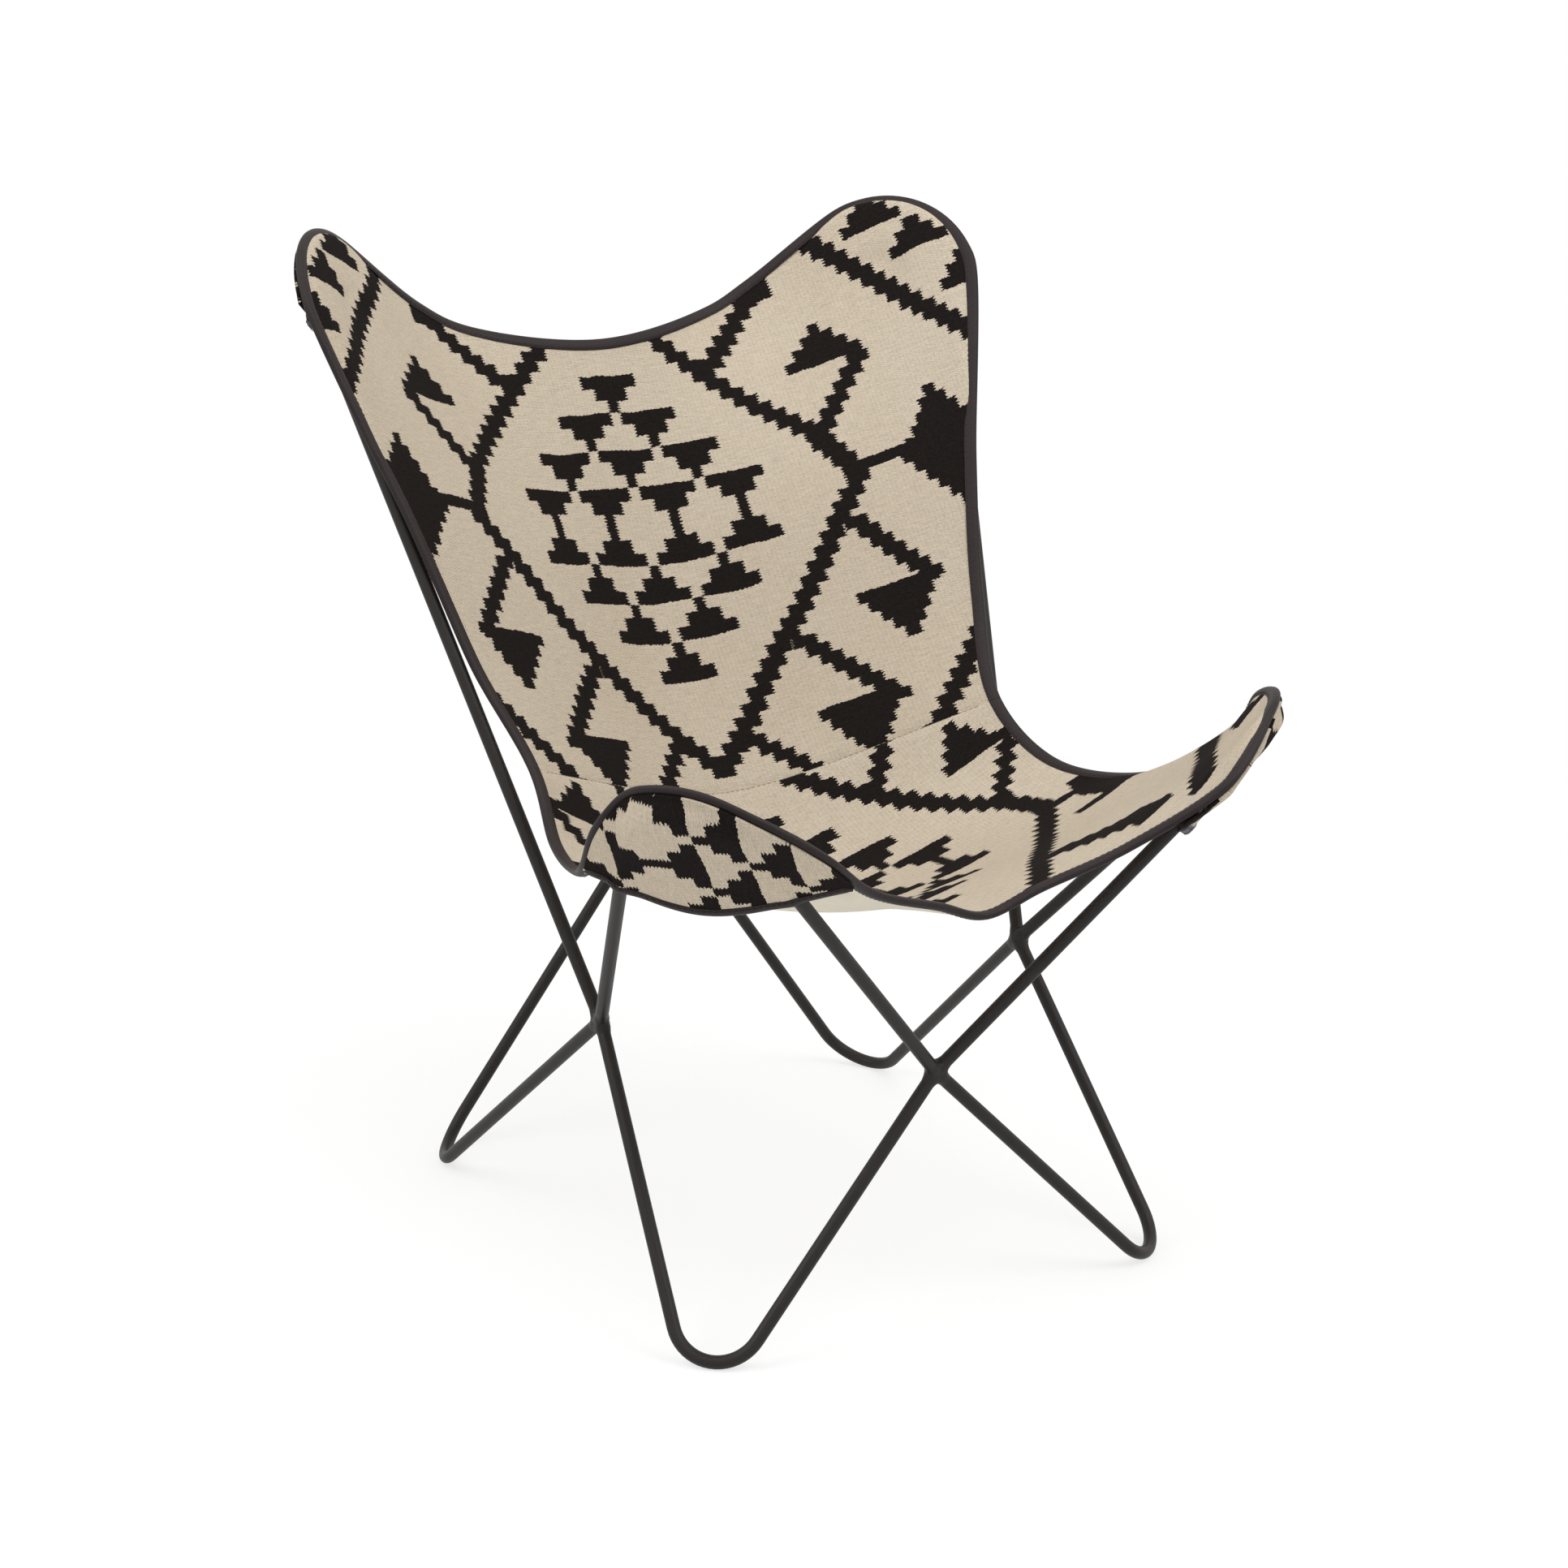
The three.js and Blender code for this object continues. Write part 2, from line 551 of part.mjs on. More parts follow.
// Tangent, inward direction and normal at each place of a rim.
function frameRim(rim) {
  rim.forEach((place, k) => {
    const before = rim[Math.max(0, k - 1)].edge;
    const after = rim[Math.min(rim.length - 1, k + 1)].edge;
    place.tangent = direction(before, after);
    place.inwards = across(place.inner.clone().sub(place.edge), place.tangent);
    place.normal = place.tangent.clone().cross(place.inwards).normalize();
  });
}

// Two triangles a cell, split so that a tip's corner is joined to the inside of the panel.
function gridFaces(rows, splitFalls) {
  const wide = rows[0].length;
  const faces = [];
  for (let j = 0; j + 1 < rows.length; j += 1) {
    for (let i = 0; i + 1 < wide; i += 1) {
      const a = j * wide + i;
      const [b, c, d] = [a + 1, a + wide, a + wide + 1];
      if (splitFalls(i, j)) faces.push([a, b, d], [a, d, c]);
      else faces.push([a, b, c], [b, d, c]);
    }
  }
  return faces;
}

function pointNormals(points, faces) {
  const normals = points.map(() => v3(0, 0, 0));
  for (const [a, b, c] of faces) {
    const normal = points[b].clone().sub(points[a]).cross(points[c].clone().sub(points[a]));
    [a, b, c].forEach((k) => normals[k].add(normal));
  }
  return normals.map((n) => n.normalize());
}

// Sheet of cloth between two heights over a grid of points; positive heights are on the sitter's side.
function sheet(rows, faces, normals, low, high) {
  const wide = rows[0].length;
  const points = rows.flat();
  const count = points.length;
  const both = [
    ...points.map((p, k) => p.clone().addScaledVector(normals[k], high)),
    ...points.map((p, k) => p.clone().addScaledVector(normals[k], low)),
  ];
  const all = [...faces, ...faces.map(([a, b, c]) => [a + count, c + count, b + count])];
  const edgeLoop = [];
  const lastRow = (rows.length - 1) * wide;
  for (let i = 0; i < wide - 1; i += 1) edgeLoop.push(i);
  for (let j = 0; j < rows.length - 1; j += 1) edgeLoop.push(j * wide + wide - 1);
  for (let i = wide - 1; i > 0; i -= 1) edgeLoop.push(lastRow + i);
  for (let j = rows.length - 1; j > 0; j -= 1) edgeLoop.push(j * wide);
  edgeLoop.forEach((a, k) => {
    const b = edgeLoop[(k + 1) % edgeLoop.length];
    all.push([b, a, b + count], [a, a + count, b + count]);
  });
  return facingOut(geometryOf(both, all));
}

function addPanel(name, grid) {
  const half = ACROSS / 2;
  const falls = (i) => (grid.freeAt === 0 ? i < half : i >= half);
  const faces = gridFaces(grid.rows, falls);
  const points = grid.rows.flat();
  let normals = pointNormals(points, faces);
  const up = normals[Math.floor(normals.length / 2)].z > 0 ? 1 : -1;
  normals = normals.map((n) => n.multiplyScalar(up));
  grid.rim.forEach(({ i, j, normal }) => normals[j * (ACROSS + 1) + i].copy(normal));
  addPiece(`${name}_panel`, sheet(grid.rows, faces, normals, LAYER_GAP, LAYER_GAP + KILIM), WOVEN_KILIM);
  addPiece(`${name}_lining`, sheet(grid.rows, faces, normals, -LAYER_GAP - LINING, -LAYER_GAP), PLAIN_CANVAS);
}

const backGrid = panelGrid(backSurface, BACK_ROWS, 0, SEAM_GAP / rearMiddle.total);
const seatGrid = panelGrid(seatSurface, SEAT_ROWS, 1, SEAM_GAP / foreMiddle.total);
addPanel('back', backGrid);
addPanel('seat', seatGrid);

// Binding: a strip of leather folded over an edge, with a rounded nose and a slot for the cloth

// The slot's faces are split the same way as the cloth in it: outwards from each tip.
const FOLDED_CAP = [[0, 1, 8], [0, 8, 9], [1, 2, 8], [2, 7, 8], [2, 3, 7], [3, 4, 7], [4, 5, 6], [4, 6, 7]];
const SLOT_LOW_FACE = 6;
const SLOT_HIGH_FACE = 8;

function bindingGeometry(rim, above, below, runsIn) {
  const slotAbove = above - LEATHER;
  const slotBelow = below - LEATHER;
  const section = (width) => [
    [width, above], [BINDING_NOSE, above], [0, above - BINDING_NOSE], [0, BINDING_NOSE - below],
    [BINDING_NOSE, -below], [width, -below], [width, -slotBelow], [LEATHER, -slotBelow],
    [LEATHER, slotAbove], [width, slotAbove],
  ];
  const rings = rim.map(({ edge, inwards, normal, width = BINDING_WIDTH }) => section(width).map(
    ([depth, height]) => edge.clone().addScaledVector(inwards, depth).addScaledVector(normal, height)));
  return solidThroughRings(rings, FOLDED_CAP, (ring, side) =>
    (side === SLOT_LOW_FACE && !runsIn(ring)) || (side === SLOT_HIGH_FACE && runsIn(ring)));
}

const rearRim = backGrid.rim;
const foreRim = seatGrid.rim;
// Along a rim, from seam to seam, the cells run in towards a tip, out to the middle, in again and out.
const towardsTip = (down) => (ring) => ring < down || (ring >= down + ACROSS / 2 && ring < down + ACROSS);
addPiece('binding_back',
  bindingGeometry(rearRim, LEATHER_ABOVE, LEATHER_BELOW, towardsTip(BACK_ROWS)), DARK_LEATHER);
addPiece('binding_front',
  bindingGeometry(foreRim, LEATHER_ABOVE, LEATHER_BELOW, towardsTip(SEAT_ROWS)), DARK_LEATHER);

// Pockets: each hangs from the bound edge, passes round the outside of its wing's rod and ends in a hem that
// crosses behind both legs

const HEM_LEATHER = KILIM / 2 + SLOT_SLACK + LEATHER;
const POCKET_REST = ROD + FIT_GAP + 2 * REST_MARGIN + HEM_LEATHER;

const nearest = (rim, point) => rim.reduce(
  (best, place, k) => (place.edge.distanceTo(point) < rim[best].edge.distanceTo(point) ? k : best), 0);

// A pocket has several columns to each cell of the rim that it hangs from.
function finerPlaces(places) {
  const finer = [places[0]];
  for (let k = 1; k < places.length; k += 1) {
    const [before, after] = [places[k - 1], places[k]];
    for (let step = 1; step <= POCKET_COLUMNS; step += 1) {
      const share = step / POCKET_COLUMNS;
      finer.push({
        edge: blend(before.edge, after.edge, share),
        inwards: blend(before.inwards, after.inwards, share).normalize(),
        normal: blend(before.normal, after.normal, share).normalize(),
      });
    }
  }
  return finer;
}

function pocketRows(wing, rim, from, to, sideLegShare, middleLegShare, endDrop, flatAtSide) {
  const outwards = innerNormal(wing).multiplyScalar(-1);
  const places = finerPlaces(rim.slice(from, to + 1));
  const lengths = [0];
  for (let k = 1; k < places.length; k += 1) {
    lengths.push(lengths[k - 1] + places[k].edge.distanceTo(places[k - 1].edge));
  }
  const onLeg = (weld, share) => blend(weld, wing.corner, share).addScaledVector(outwards, POCKET_REST);
  const hemEnd = ({ edge, inwards, normal }, below) => edge.clone()
    .addScaledVector(inwards.clone().add(wing.inwards).normalize(), endDrop)
    .addScaledVector(normal, -below);
  const legs = [onLeg(wing.end, middleLegShare), onLeg(wing.start, sideLegShare)];
  const swell = blend(legs[0], legs[1], 0.5).addScaledVector(outwards, POCKET_BULGE);
  const offRod = (point) => liftOffRod(wing, point, outwards, POCKET_REST, POCKET_OFF_ROD);
  const deepest = POCKET_PROFILE[POCKET_PROFILE.length - 1];
  const ends = [
    hemEnd(places[0], deepest.flat),
    hemEnd(places[places.length - 1], flatAtSide ? deepest.flat : deepest.round),
  ];
  const hem = curveThrough([ends[0], swell, ends[1]], 0, 2);
  const rows = POCKET_PROFILE.map(() => []);
  for (let row = 0; row < POCKET_ROWS; row += 1) rows.push([]);
  places.forEach(({ edge, inwards, normal }, k) => {
    const share = lengths[k] / lengths[lengths.length - 1];
    const fromEnd = flatAtSide ? Math.min(share, 1 - share) : share;
    const round = THREE.MathUtils.smoothstep(fromEnd, 0, 0.2);
    POCKET_PROFILE.forEach((place, row) => {
      const below = THREE.MathUtils.lerp(place.flat, place.round, round);
      const inset = THREE.MathUtils.lerp(place.flatInset, place.inset, round);
      rows[row].push(edge.clone().addScaledVector(inwards, inset).addScaledVector(normal, -below));
    });
    const last = POCKET_PROFILE.length - 1;
    rows[last][k] = offRod(rows[last][k]);
    for (let row = 1; row <= POCKET_ROWS; row += 1) {
      const hemPoint = hem.at(share);
      const flat = Math.min(0.8, HEM_FLAT / hemPoint.distanceTo(rows[last][k]));
      const down = row === POCKET_ROWS ? 1 : (row / (POCKET_ROWS - 1)) * (1 - flat);
      const point = blend(rows[last][k], hemPoint, down);
      rows[last + row].push(offRod(point));
    }
  });
  return rows;
}

function addPocket(name, rows, side) {
  const wide = rows[0].length;
  const placed = rows.map((row) => row.map((p) => mirrored(p, side)));
  const hemRow = placed[placed.length - 1];
  const inner = placed[placed.length - 2];
  const middle = Math.floor(wide / 2);
  const rim = hemRow.map((edge, k) => ({
    edge: edge.clone(),
    inner: inner[k],
    width: Math.max(HEM_NARROWEST, Math.min(BINDING_WIDTH, edge.distanceTo(placed[0][k]) - HEM_TUCK)),
  }));
  frameRim(rim);
  rim.forEach((place, k) => hemRow[k].addScaledVector(place.inwards, EDGE_INSET));
  const faces = gridFaces(placed, (i) => i >= middle);
  const normals = pointNormals(placed.flat(), faces);
  const facing = normals[normals.length - 2].dot(rim[wide - 2].normal) > 0 ? 1 : -1;
  rim.forEach(({ normal }, k) => normals[(placed.length - 1) * wide + k].copy(normal).multiplyScalar(facing));
  addPiece(`${name.replace('*', 'pocket')}`, sheet(placed, faces, normals, -KILIM / 2, KILIM / 2), WOVEN_KILIM);
  addPiece(`${name.replace('*', 'hem')}`, bindingGeometry(rim, HEM_LEATHER, HEM_LEATHER, (ring) => ring >= middle), DARK_LEATHER);
}

const leftRim = (rim) => rim.filter(({ edge }) => edge.x > 0);
const rearLeft = leftRim(rearRim);
const foreLeft = leftRim(foreRim);
const backPocket = pocketRows(wings.back, rearLeft, nearest(rearLeft, topPoints[2]),
  nearest(rearLeft, rearSide.at(BACK_POCKET_END)), BACK_HEM_AT_SIDE_LEG, BACK_HEM_AT_MIDDLE_LEG, BACK_POCKET_DROP, false);
const frontPocket = pocketRows(wings.front, foreLeft, nearest(foreLeft, frontEdge.at(FRONT_POCKET_FROM)),
  nearest(foreLeft, foreSide.at(FRONT_POCKET_TO)), FRONT_HEM_AT_SIDE_LEG, FRONT_HEM_AT_MIDDLE_LEG, FRONT_POCKET_END, true);
for (const [sideName, side] of [['left', LEFT], ['right', RIGHT]]) {
  addPocket(`back_*_${sideName}`, backPocket, side);
  addPocket(`front_*_${sideName}`, frontPocket, side);
}

// Origin: on the floor, under the middle of the chair's outline

const outline = new THREE.Box3().setFromObject(chair);
const setBack = -(outline.min.y + outline.max.y) / 2;
chair.traverse((piece) => {
  if (piece.isMesh) piece.geometry.translate(0, setBack, 0);
});

export default chair;
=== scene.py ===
# Butterfly sling chair: bent steel rods carry a kilim cover, bound in leather, by four corner pockets.
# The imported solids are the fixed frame, and each is dressed here in its own place.
# Lengths are typed in millimetres, in the frame of the part's source, and go to metres as a mesh is made.
# "Left" is the sitter's left, +X; the sitter faces -Y.
import math

import bpy
import numpy as np
from mathutils import Matrix, Vector


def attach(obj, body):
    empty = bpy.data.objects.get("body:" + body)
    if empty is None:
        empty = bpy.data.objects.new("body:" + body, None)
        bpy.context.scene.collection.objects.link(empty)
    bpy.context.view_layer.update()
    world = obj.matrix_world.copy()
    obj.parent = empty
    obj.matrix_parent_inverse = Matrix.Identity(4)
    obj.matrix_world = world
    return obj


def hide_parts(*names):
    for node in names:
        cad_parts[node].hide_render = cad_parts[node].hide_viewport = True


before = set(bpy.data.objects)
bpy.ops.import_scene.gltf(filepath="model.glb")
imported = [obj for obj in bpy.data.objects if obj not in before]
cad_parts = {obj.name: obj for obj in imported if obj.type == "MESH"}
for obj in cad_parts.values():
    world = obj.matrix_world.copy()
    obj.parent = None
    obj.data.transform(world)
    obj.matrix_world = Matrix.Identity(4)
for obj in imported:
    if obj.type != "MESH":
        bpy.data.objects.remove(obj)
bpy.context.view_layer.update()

MM = 0.001
SET_BACK = np.array([0, -9.664, 0])  # centres the chair's outline over the origin

# Frame: the same corners, bend radii and welds as the solids
ROD = 6.0  # radius
ROD_SIDES = 28
BEND_STEPS = 20
LEG_STEPS = 3
FOOT_ROUNDS = 20  # rounds in which a foot settles on the floor
ROD_FROM_WELD = 4.0  # each rod starts inside its weld
SIDE_WELD = (222, -52, 242)
FRONT_WELD = (0, -254, 221)
REAR_WELD = (0, 263, 328)
FRONT_FOOT = (254, -289)
FRONT_FOOT_BEND = 40
REAR_FOOT = (260, 285)
REAR_FOOT_BEND = 45
FRONT_WING_CORNER = (356, -403, 629)
FRONT_WING_BEND = 55
BACK_WING_CORNER = (394, 436, 1136)
BACK_WING_BEND = 69.5
WELD_CENTRES = {"front": FRONT_WELD, "rear": REAR_WELD, "left": SIDE_WELD,
                "right": (-SIDE_WELD[0], SIDE_WELD[1], SIDE_WELD[2])}

# Cover: layers and edges
KILIM = 2.4  # thickness
LINING = 1.0
LAYER_GAP = 0.15
REST = 10.15  # height of the middle surface over a rod's centre line
# Round of the bound edge at a tip: its radius, how far past the rod and how far above the rod's plane
BACK_TIP = (104.5, 21.6, 4)
FRONT_TIP = (74, 19, REST)
FRONT_TIP_TILT = 8  # rise of a front tip's edge per radian, towards the side
CLOTH_INSET = 2.4  # the cloth ends this far inside the bound edge
INSET_FADE = 14  # and is drawn in over this width
BACK_TIP_ANGLES = [-30, -15, 0, 15, 30, 45, 60, 72]
FRONT_TIP_ANGLES = [-50, -25, 0, 22]
# Share from the middle to the tip, set-back and drop from the tip
TOP_EDGE = [(0, 41, 128), (0.43, 61, 108), (0.58, 61, 84)]
# Share from back tip to front tip, offset outwards and drop below the straight line
SIDE_EDGE = [(0.268, 0, 142), (0.363, -30, 230), (0.464, -52, 276), (0.569, -34, 283),
             (0.714, -5, 225), (0.805, 19, 164), (0.873, 32, 94)]
# Share from the middle to the tip, how far ahead of and below the tip
FRONT_EDGE = [(0.686, 57, 50), (0.427, 21, 106.5), (0.17, 2, 135.5), (0, -5, 153.5)]
# Share from the top edge to the front edge, and sag below the straight line
MIDDLE_LINE = [(0.143, 128), (0.262, 202), (0.385, 246), (0.47, 250), (0.58, 228), (0.71, 166), (0.83, 93)]
# The seam starts at this point of the side and crosses the middle line at this one
SEAM_ON_SIDE = 2
SEAM_ON_MIDDLE = 2
SEAM_NARROW = 0.0055  # share of a panel's length that turns down into the seam
SEAM_DIP = 1.3  # depth of the furrow
SEAM_DIP_EASE = 0.1  # share of the half width, from the side, in which the dip sets in
CROSS_ROUND = 0.28  # roundness of the hang from side to side
EDGE_FADE = 0.55  # share of a panel's length in which the shape of its free edge fades
# Cloth over a rod, inside the wing and then outside it: how far from the rod it stays up, and the radius at
# which it then falls
REST_WIDE = (16, 90)
REST_BY_TIP = (8, 12)
REST_SOFT = 2  # rounds the change from free cloth to cloth that rests
# The seat's sides roll over towards the front tips: height of the roll, its place in from the edge, how
# quickly it falls off, and the shares of the side between which it comes and goes
ROLL_HIGH = 9
ROLL_FROM_SIDE = 26
ROLL_FALL = 1.5
ROLL_ALONG = (0.32, 0.84)
ROLL_EASE = 0.25

# Pockets: where each starts and ends on the bound edge, and how far from the edge its hem is at both ends
BACK_POCKET_TO = 0.2  # share of the back's side; it starts at the outer point of the top edge
BACK_POCKET_DROP = 28
FRONT_POCKET_FROM = 0.5  # share of the front edge
FRONT_POCKET_TO = 0.6  # share of the seat's side
FRONT_POCKET_DROP = 3
POCKET_EASE = 0.2  # share of its length, at each end, in which a pocket rounds out
# Where a hem crosses its wing's legs, as shares from weld to corner: the leg from the middle weld first
BACK_HEM_LEGS = (0.573, 0.645)
FRONT_HEM_LEGS = (0.508, 0.468)
# How far in from the bound edge and how far below it: round the rod, then where the pocket lies flat
FRONT_POCKET_PROFILE = [(3.5, 4.4, 1.5, 4.4), (10.5, 8.2, 2.5, 5.2), (20, 12.6, 3.5, 6.2)]
BACK_POCKET_PROFILE = [(3.5, 4.4, 1.5, 4.4), (10.5, 6.4, 2.5, 5.2), (20, 8.8, 3.5, 6.2)]
HEM_HALF = 3.1  # half of its thickness
HEM_FLAT = 14  # the cloth lies flat for this length above the hem,
HEM_FLAT_MOST = 0.8  # or for this share of a shorter way
HEM_SHORT = 1  # a narrow hem ends this far below the bound edge
HEM_NARROWEST = 4
HEM_WIDEST = 10
HEM_FULL = 0.99  # a hem is sewn where its width is at least this share of the widest
ROOM = 0.4  # between a rod and what lies under it
POCKET_REST = ROD + KILIM / 2 + ROOM  # from a rod's centre line down to the cloth of a pocket
HEM_REST = ROD + HEM_HALF + ROOM
# Cloth under a rod, as above: between the legs it comes back slowly, outside them it stays close to the rod
BETWEEN_LEGS = (11, 36)
ROUND_ROD = (0, 4.5)
FRONT_POCKET_BULGE = 8  # how far the mouth swells past the legs
BACK_POCKET_BULGE = 0
POCKET_ROWS = 4  # from the profile's last row down to the hem

# Mesh counts
ACROSS = 120
DOWN = 84
SPAN_SAMPLES = 24  # along an edge curve, from one of its points to the next
RIM_CLAMP = 6  # cells from the rim at which its inward direction is read
RIM_NEAR = 10  # cloth this near to the rim has the rim's normal
SEAM_ENDS = 4  # cells left free of seam stitches at each side
SEAM_INNER = -6  # row from which the seam's inward direction is read
PROFILE_STEPS = 4  # rows of cloth to each row of a pocket's profile
SMOOTH_UNDER = 40  # degrees; sharper edges stay sharp
NEVER_ZERO = 1e-12


# General geometry

def unit(v):
    return v / np.linalg.norm(v)


def mirrored(p):
    return np.asarray(p, float) * (-1, 1, 1)


def in_metres(points):
    return (np.asarray(points, float) + SET_BACK) * MM


def bend_of(start, corner, end, radius):
    """A rod's two straight legs and the round between them."""
    start, corner, end = (np.array(p, float) for p in (start, corner, end))
    to_start = unit(start - corner)
    to_end = unit(end - corner)
    half = math.acos(max(-1.0, min(1.0, float(to_start @ to_end)))) / 2
    inwards = unit(to_start + to_end)
    normal = unit(np.cross(to_start, to_end))
    return {
        "start": start, "corner": corner, "end": end, "radius": radius, "half": half,
        "inwards": inwards, "sideways": unit(to_end - to_start), "normal": normal,
        "inner": normal if normal[0] < 0 else -normal,
        "centre": corner + inwards * radius / math.sin(half), "sweep": math.pi - 2 * half,
    }


def bend_direction(bend, angle):
    return bend["sideways"] * math.sin(angle) - bend["inwards"] * math.cos(angle)


def foot_bend(start, plan, end, radius):
    """The corner is raised or lowered until the round rod just stands on the floor."""
    height = -radius
    for _ in range(FOOT_ROUNDS):
        bend = bend_of(start, (plan[0], plan[1], height), end, radius)
        steepness = math.sqrt(1 - bend["normal"][2] ** 2)
        height += ROD - (bend["centre"][2] - radius * steepness)
    return bend


class EdgeCurve:
    """Smooth curve through points, read by share of its length or by x."""

    def __init__(self, points, first, last):
        points = np.array(points, float)
        steps = np.arange(first * SPAN_SAMPLES, last * SPAN_SAMPLES + 1) / SPAN_SAMPLES
        self.samples = np.array([self.through(points, place) for place in steps])
        steps = np.linalg.norm(np.diff(self.samples, axis=0), axis=1)
        self.lengths = np.concatenate([[0], np.cumsum(steps)])

    @staticmethod
    def through(points, place):
        last = len(points) - 1
        k = min(int(place), last - 1)
        w = place - k
        b, c = points[k], points[k + 1]
        a = points[k - 1] if k > 0 else 2 * b - c
        d = points[k + 2] if k + 2 <= last else 2 * c - b
        ab, bc, cd = (math.sqrt(np.linalg.norm(q - p)) for p, q in ((a, b), (b, c), (c, d)))
        leave = ((b - a) / ab - (c - a) / (ab + bc) + (c - b) / bc) * bc
        arrive = ((c - b) / bc - (d - b) / (bc + cd) + (d - c) / cd) * bc
        return (b + leave * w + (3 * (c - b) - 2 * leave - arrive) * w ** 2
                + (2 * (b - c) + leave + arrive) * w ** 3)

    def read(self, target, measure):
        return np.stack([np.interp(target, measure, self.samples[:, k]) for k in range(3)], axis=-1)

    def at(self, share):
        return self.read(np.asarray(share) * self.lengths[-1], self.lengths)

    def at_x(self, x):
        return self.read(x, self.samples[:, 0])


def smooth_step(x):
    x = np.clip(x, 0, 1)
    return x * x * (3 - 2 * x)


# Cover: its bound edges, seam and middle line on the left half

front_wing = bend_of(SIDE_WELD, FRONT_WING_CORNER, FRONT_WELD, FRONT_WING_BEND)
back_wing = bend_of(SIDE_WELD, BACK_WING_CORNER, REAR_WELD, BACK_WING_BEND)


def tip_point(wing, tip, degrees):
    """Point of the bound edge round a tip; 0 degrees is straight out."""
    radius, beyond, height = tip
    centre = wing["centre"] + wing["inwards"] * (radius - beyond - wing["radius"])
    return centre + bend_direction(wing, math.radians(degrees)) * radius + wing["inner"] * height


back_tip = [tip_point(back_wing, BACK_TIP, -degrees) for degrees in BACK_TIP_ANGLES]
back_middle = BACK_TIP_ANGLES.index(0)
front_middle = FRONT_TIP_ANGLES.index(0)
back_apex = back_tip[back_middle]
front_apex = tip_point(front_wing, FRONT_TIP, 0)
front_tip = [tip_point(front_wing, FRONT_TIP, degrees)
             - front_wing["inner"] * math.radians(degrees) * FRONT_TIP_TILT for degrees in FRONT_TIP_ANGLES]
top_points = [back_apex * (share, 1, 1) + (0, back, -drop) for share, back, drop in TOP_EDGE]
side_points = [back_apex + (front_apex - back_apex) * along + (out, 0, -drop)
               for along, out, drop in SIDE_EDGE]
front_points = [front_apex * (share, 1, 1) - (0, ahead, drop) for share, ahead, drop in FRONT_EDGE]
middle_top, middle_front = top_points[0], front_points[-1]
middle_points = [middle_top + (middle_front - middle_top) * along - (0, 0, sag)
                 for along, sag in MIDDLE_LINE]

top_edge = EdgeCurve([mirrored(top_points[1]), *top_points, *back_tip],
                     1, 1 + len(top_points) + back_middle)
rear_side = EdgeCurve([top_points[2], *back_tip, *side_points],
                      1 + back_middle, 1 + len(back_tip) + SEAM_ON_SIDE)
fore_side = EdgeCurve([back_tip[-1], *side_points, *front_tip, *front_points],
                      1 + SEAM_ON_SIDE, 1 + len(side_points) + front_middle)
front_edge = EdgeCurve([mirrored(front_points[2]), *front_points[::-1], *front_tip[::-1], side_points[-1]],
                       1, len(front_points) + len(front_tip) - front_middle)
middle_run = [middle_top, *middle_points, middle_front]
rear_middle = EdgeCurve(middle_run, 0, 1 + SEAM_ON_MIDDLE)
fore_middle = EdgeCurve(middle_run, 1 + SEAM_ON_MIDDLE, len(middle_run) - 1)


# Cover: the hung surface, lifted where it lies over the rods

def hung(share_out, edge, middle):
    """Point of the hang between the middle line and an edge."""
    rounded = np.hypot(share_out, CROSS_ROUND) - CROSS_ROUND
    share = (rounded / (math.hypot(1, CROSS_ROUND) - CROSS_ROUND))[..., None]
    point = middle + share * (edge - middle)
    point[..., 0] = share_out * edge[..., 0]
    return point


def distance_to_rod(wing, point):
    """In the wing's plane; positive outside the rod's curve."""
    flat = point - ((point - wing["centre"]) @ wing["normal"])[..., None] * wing["normal"]
    out = flat - wing["centre"]
    angle = np.arctan2(out @ wing["sideways"], -(out @ wing["inwards"]))
    on_bend = np.linalg.norm(out, axis=-1) - wing["radius"]
    gaps = []
    for end, turn in ((wing["start"], -1), (wing["end"], 1)):
        leg = wing["corner"] - end
        share = np.clip((flat - end) @ leg / (leg @ leg), 0, 1)[..., None]
        away = np.linalg.norm(flat - end - share * leg, axis=-1)
        side = (flat - wing["corner"]) @ bend_direction(wing, turn * wing["sweep"] / 2)
        gaps.append(np.where(side > 0, away, -away))
    on_leg = np.where(angle < 0, gaps[0], gaps[1])
    return np.where(np.abs(angle) <= wing["sweep"] / 2, on_bend, on_leg)


def lift_off_rod(wing, point, outwards, clear, inside, outside):
    """Points too near a rod move outwards to its clear height, which falls off each side of the rod."""
    height = (point - wing["centre"]) @ outwards
    gap = distance_to_rod(wing, point)
    flat, fall = (np.where(gap > 0, o, i) for o, i in zip(outside, inside))
    past = np.maximum(0, np.abs(gap) - flat)
    needed = clear - past ** 2 / (2 * fall)
    lifted = (height + needed + np.hypot(height - needed, REST_SOFT)) / 2
    return point + (lifted - height)[..., None] * outwards


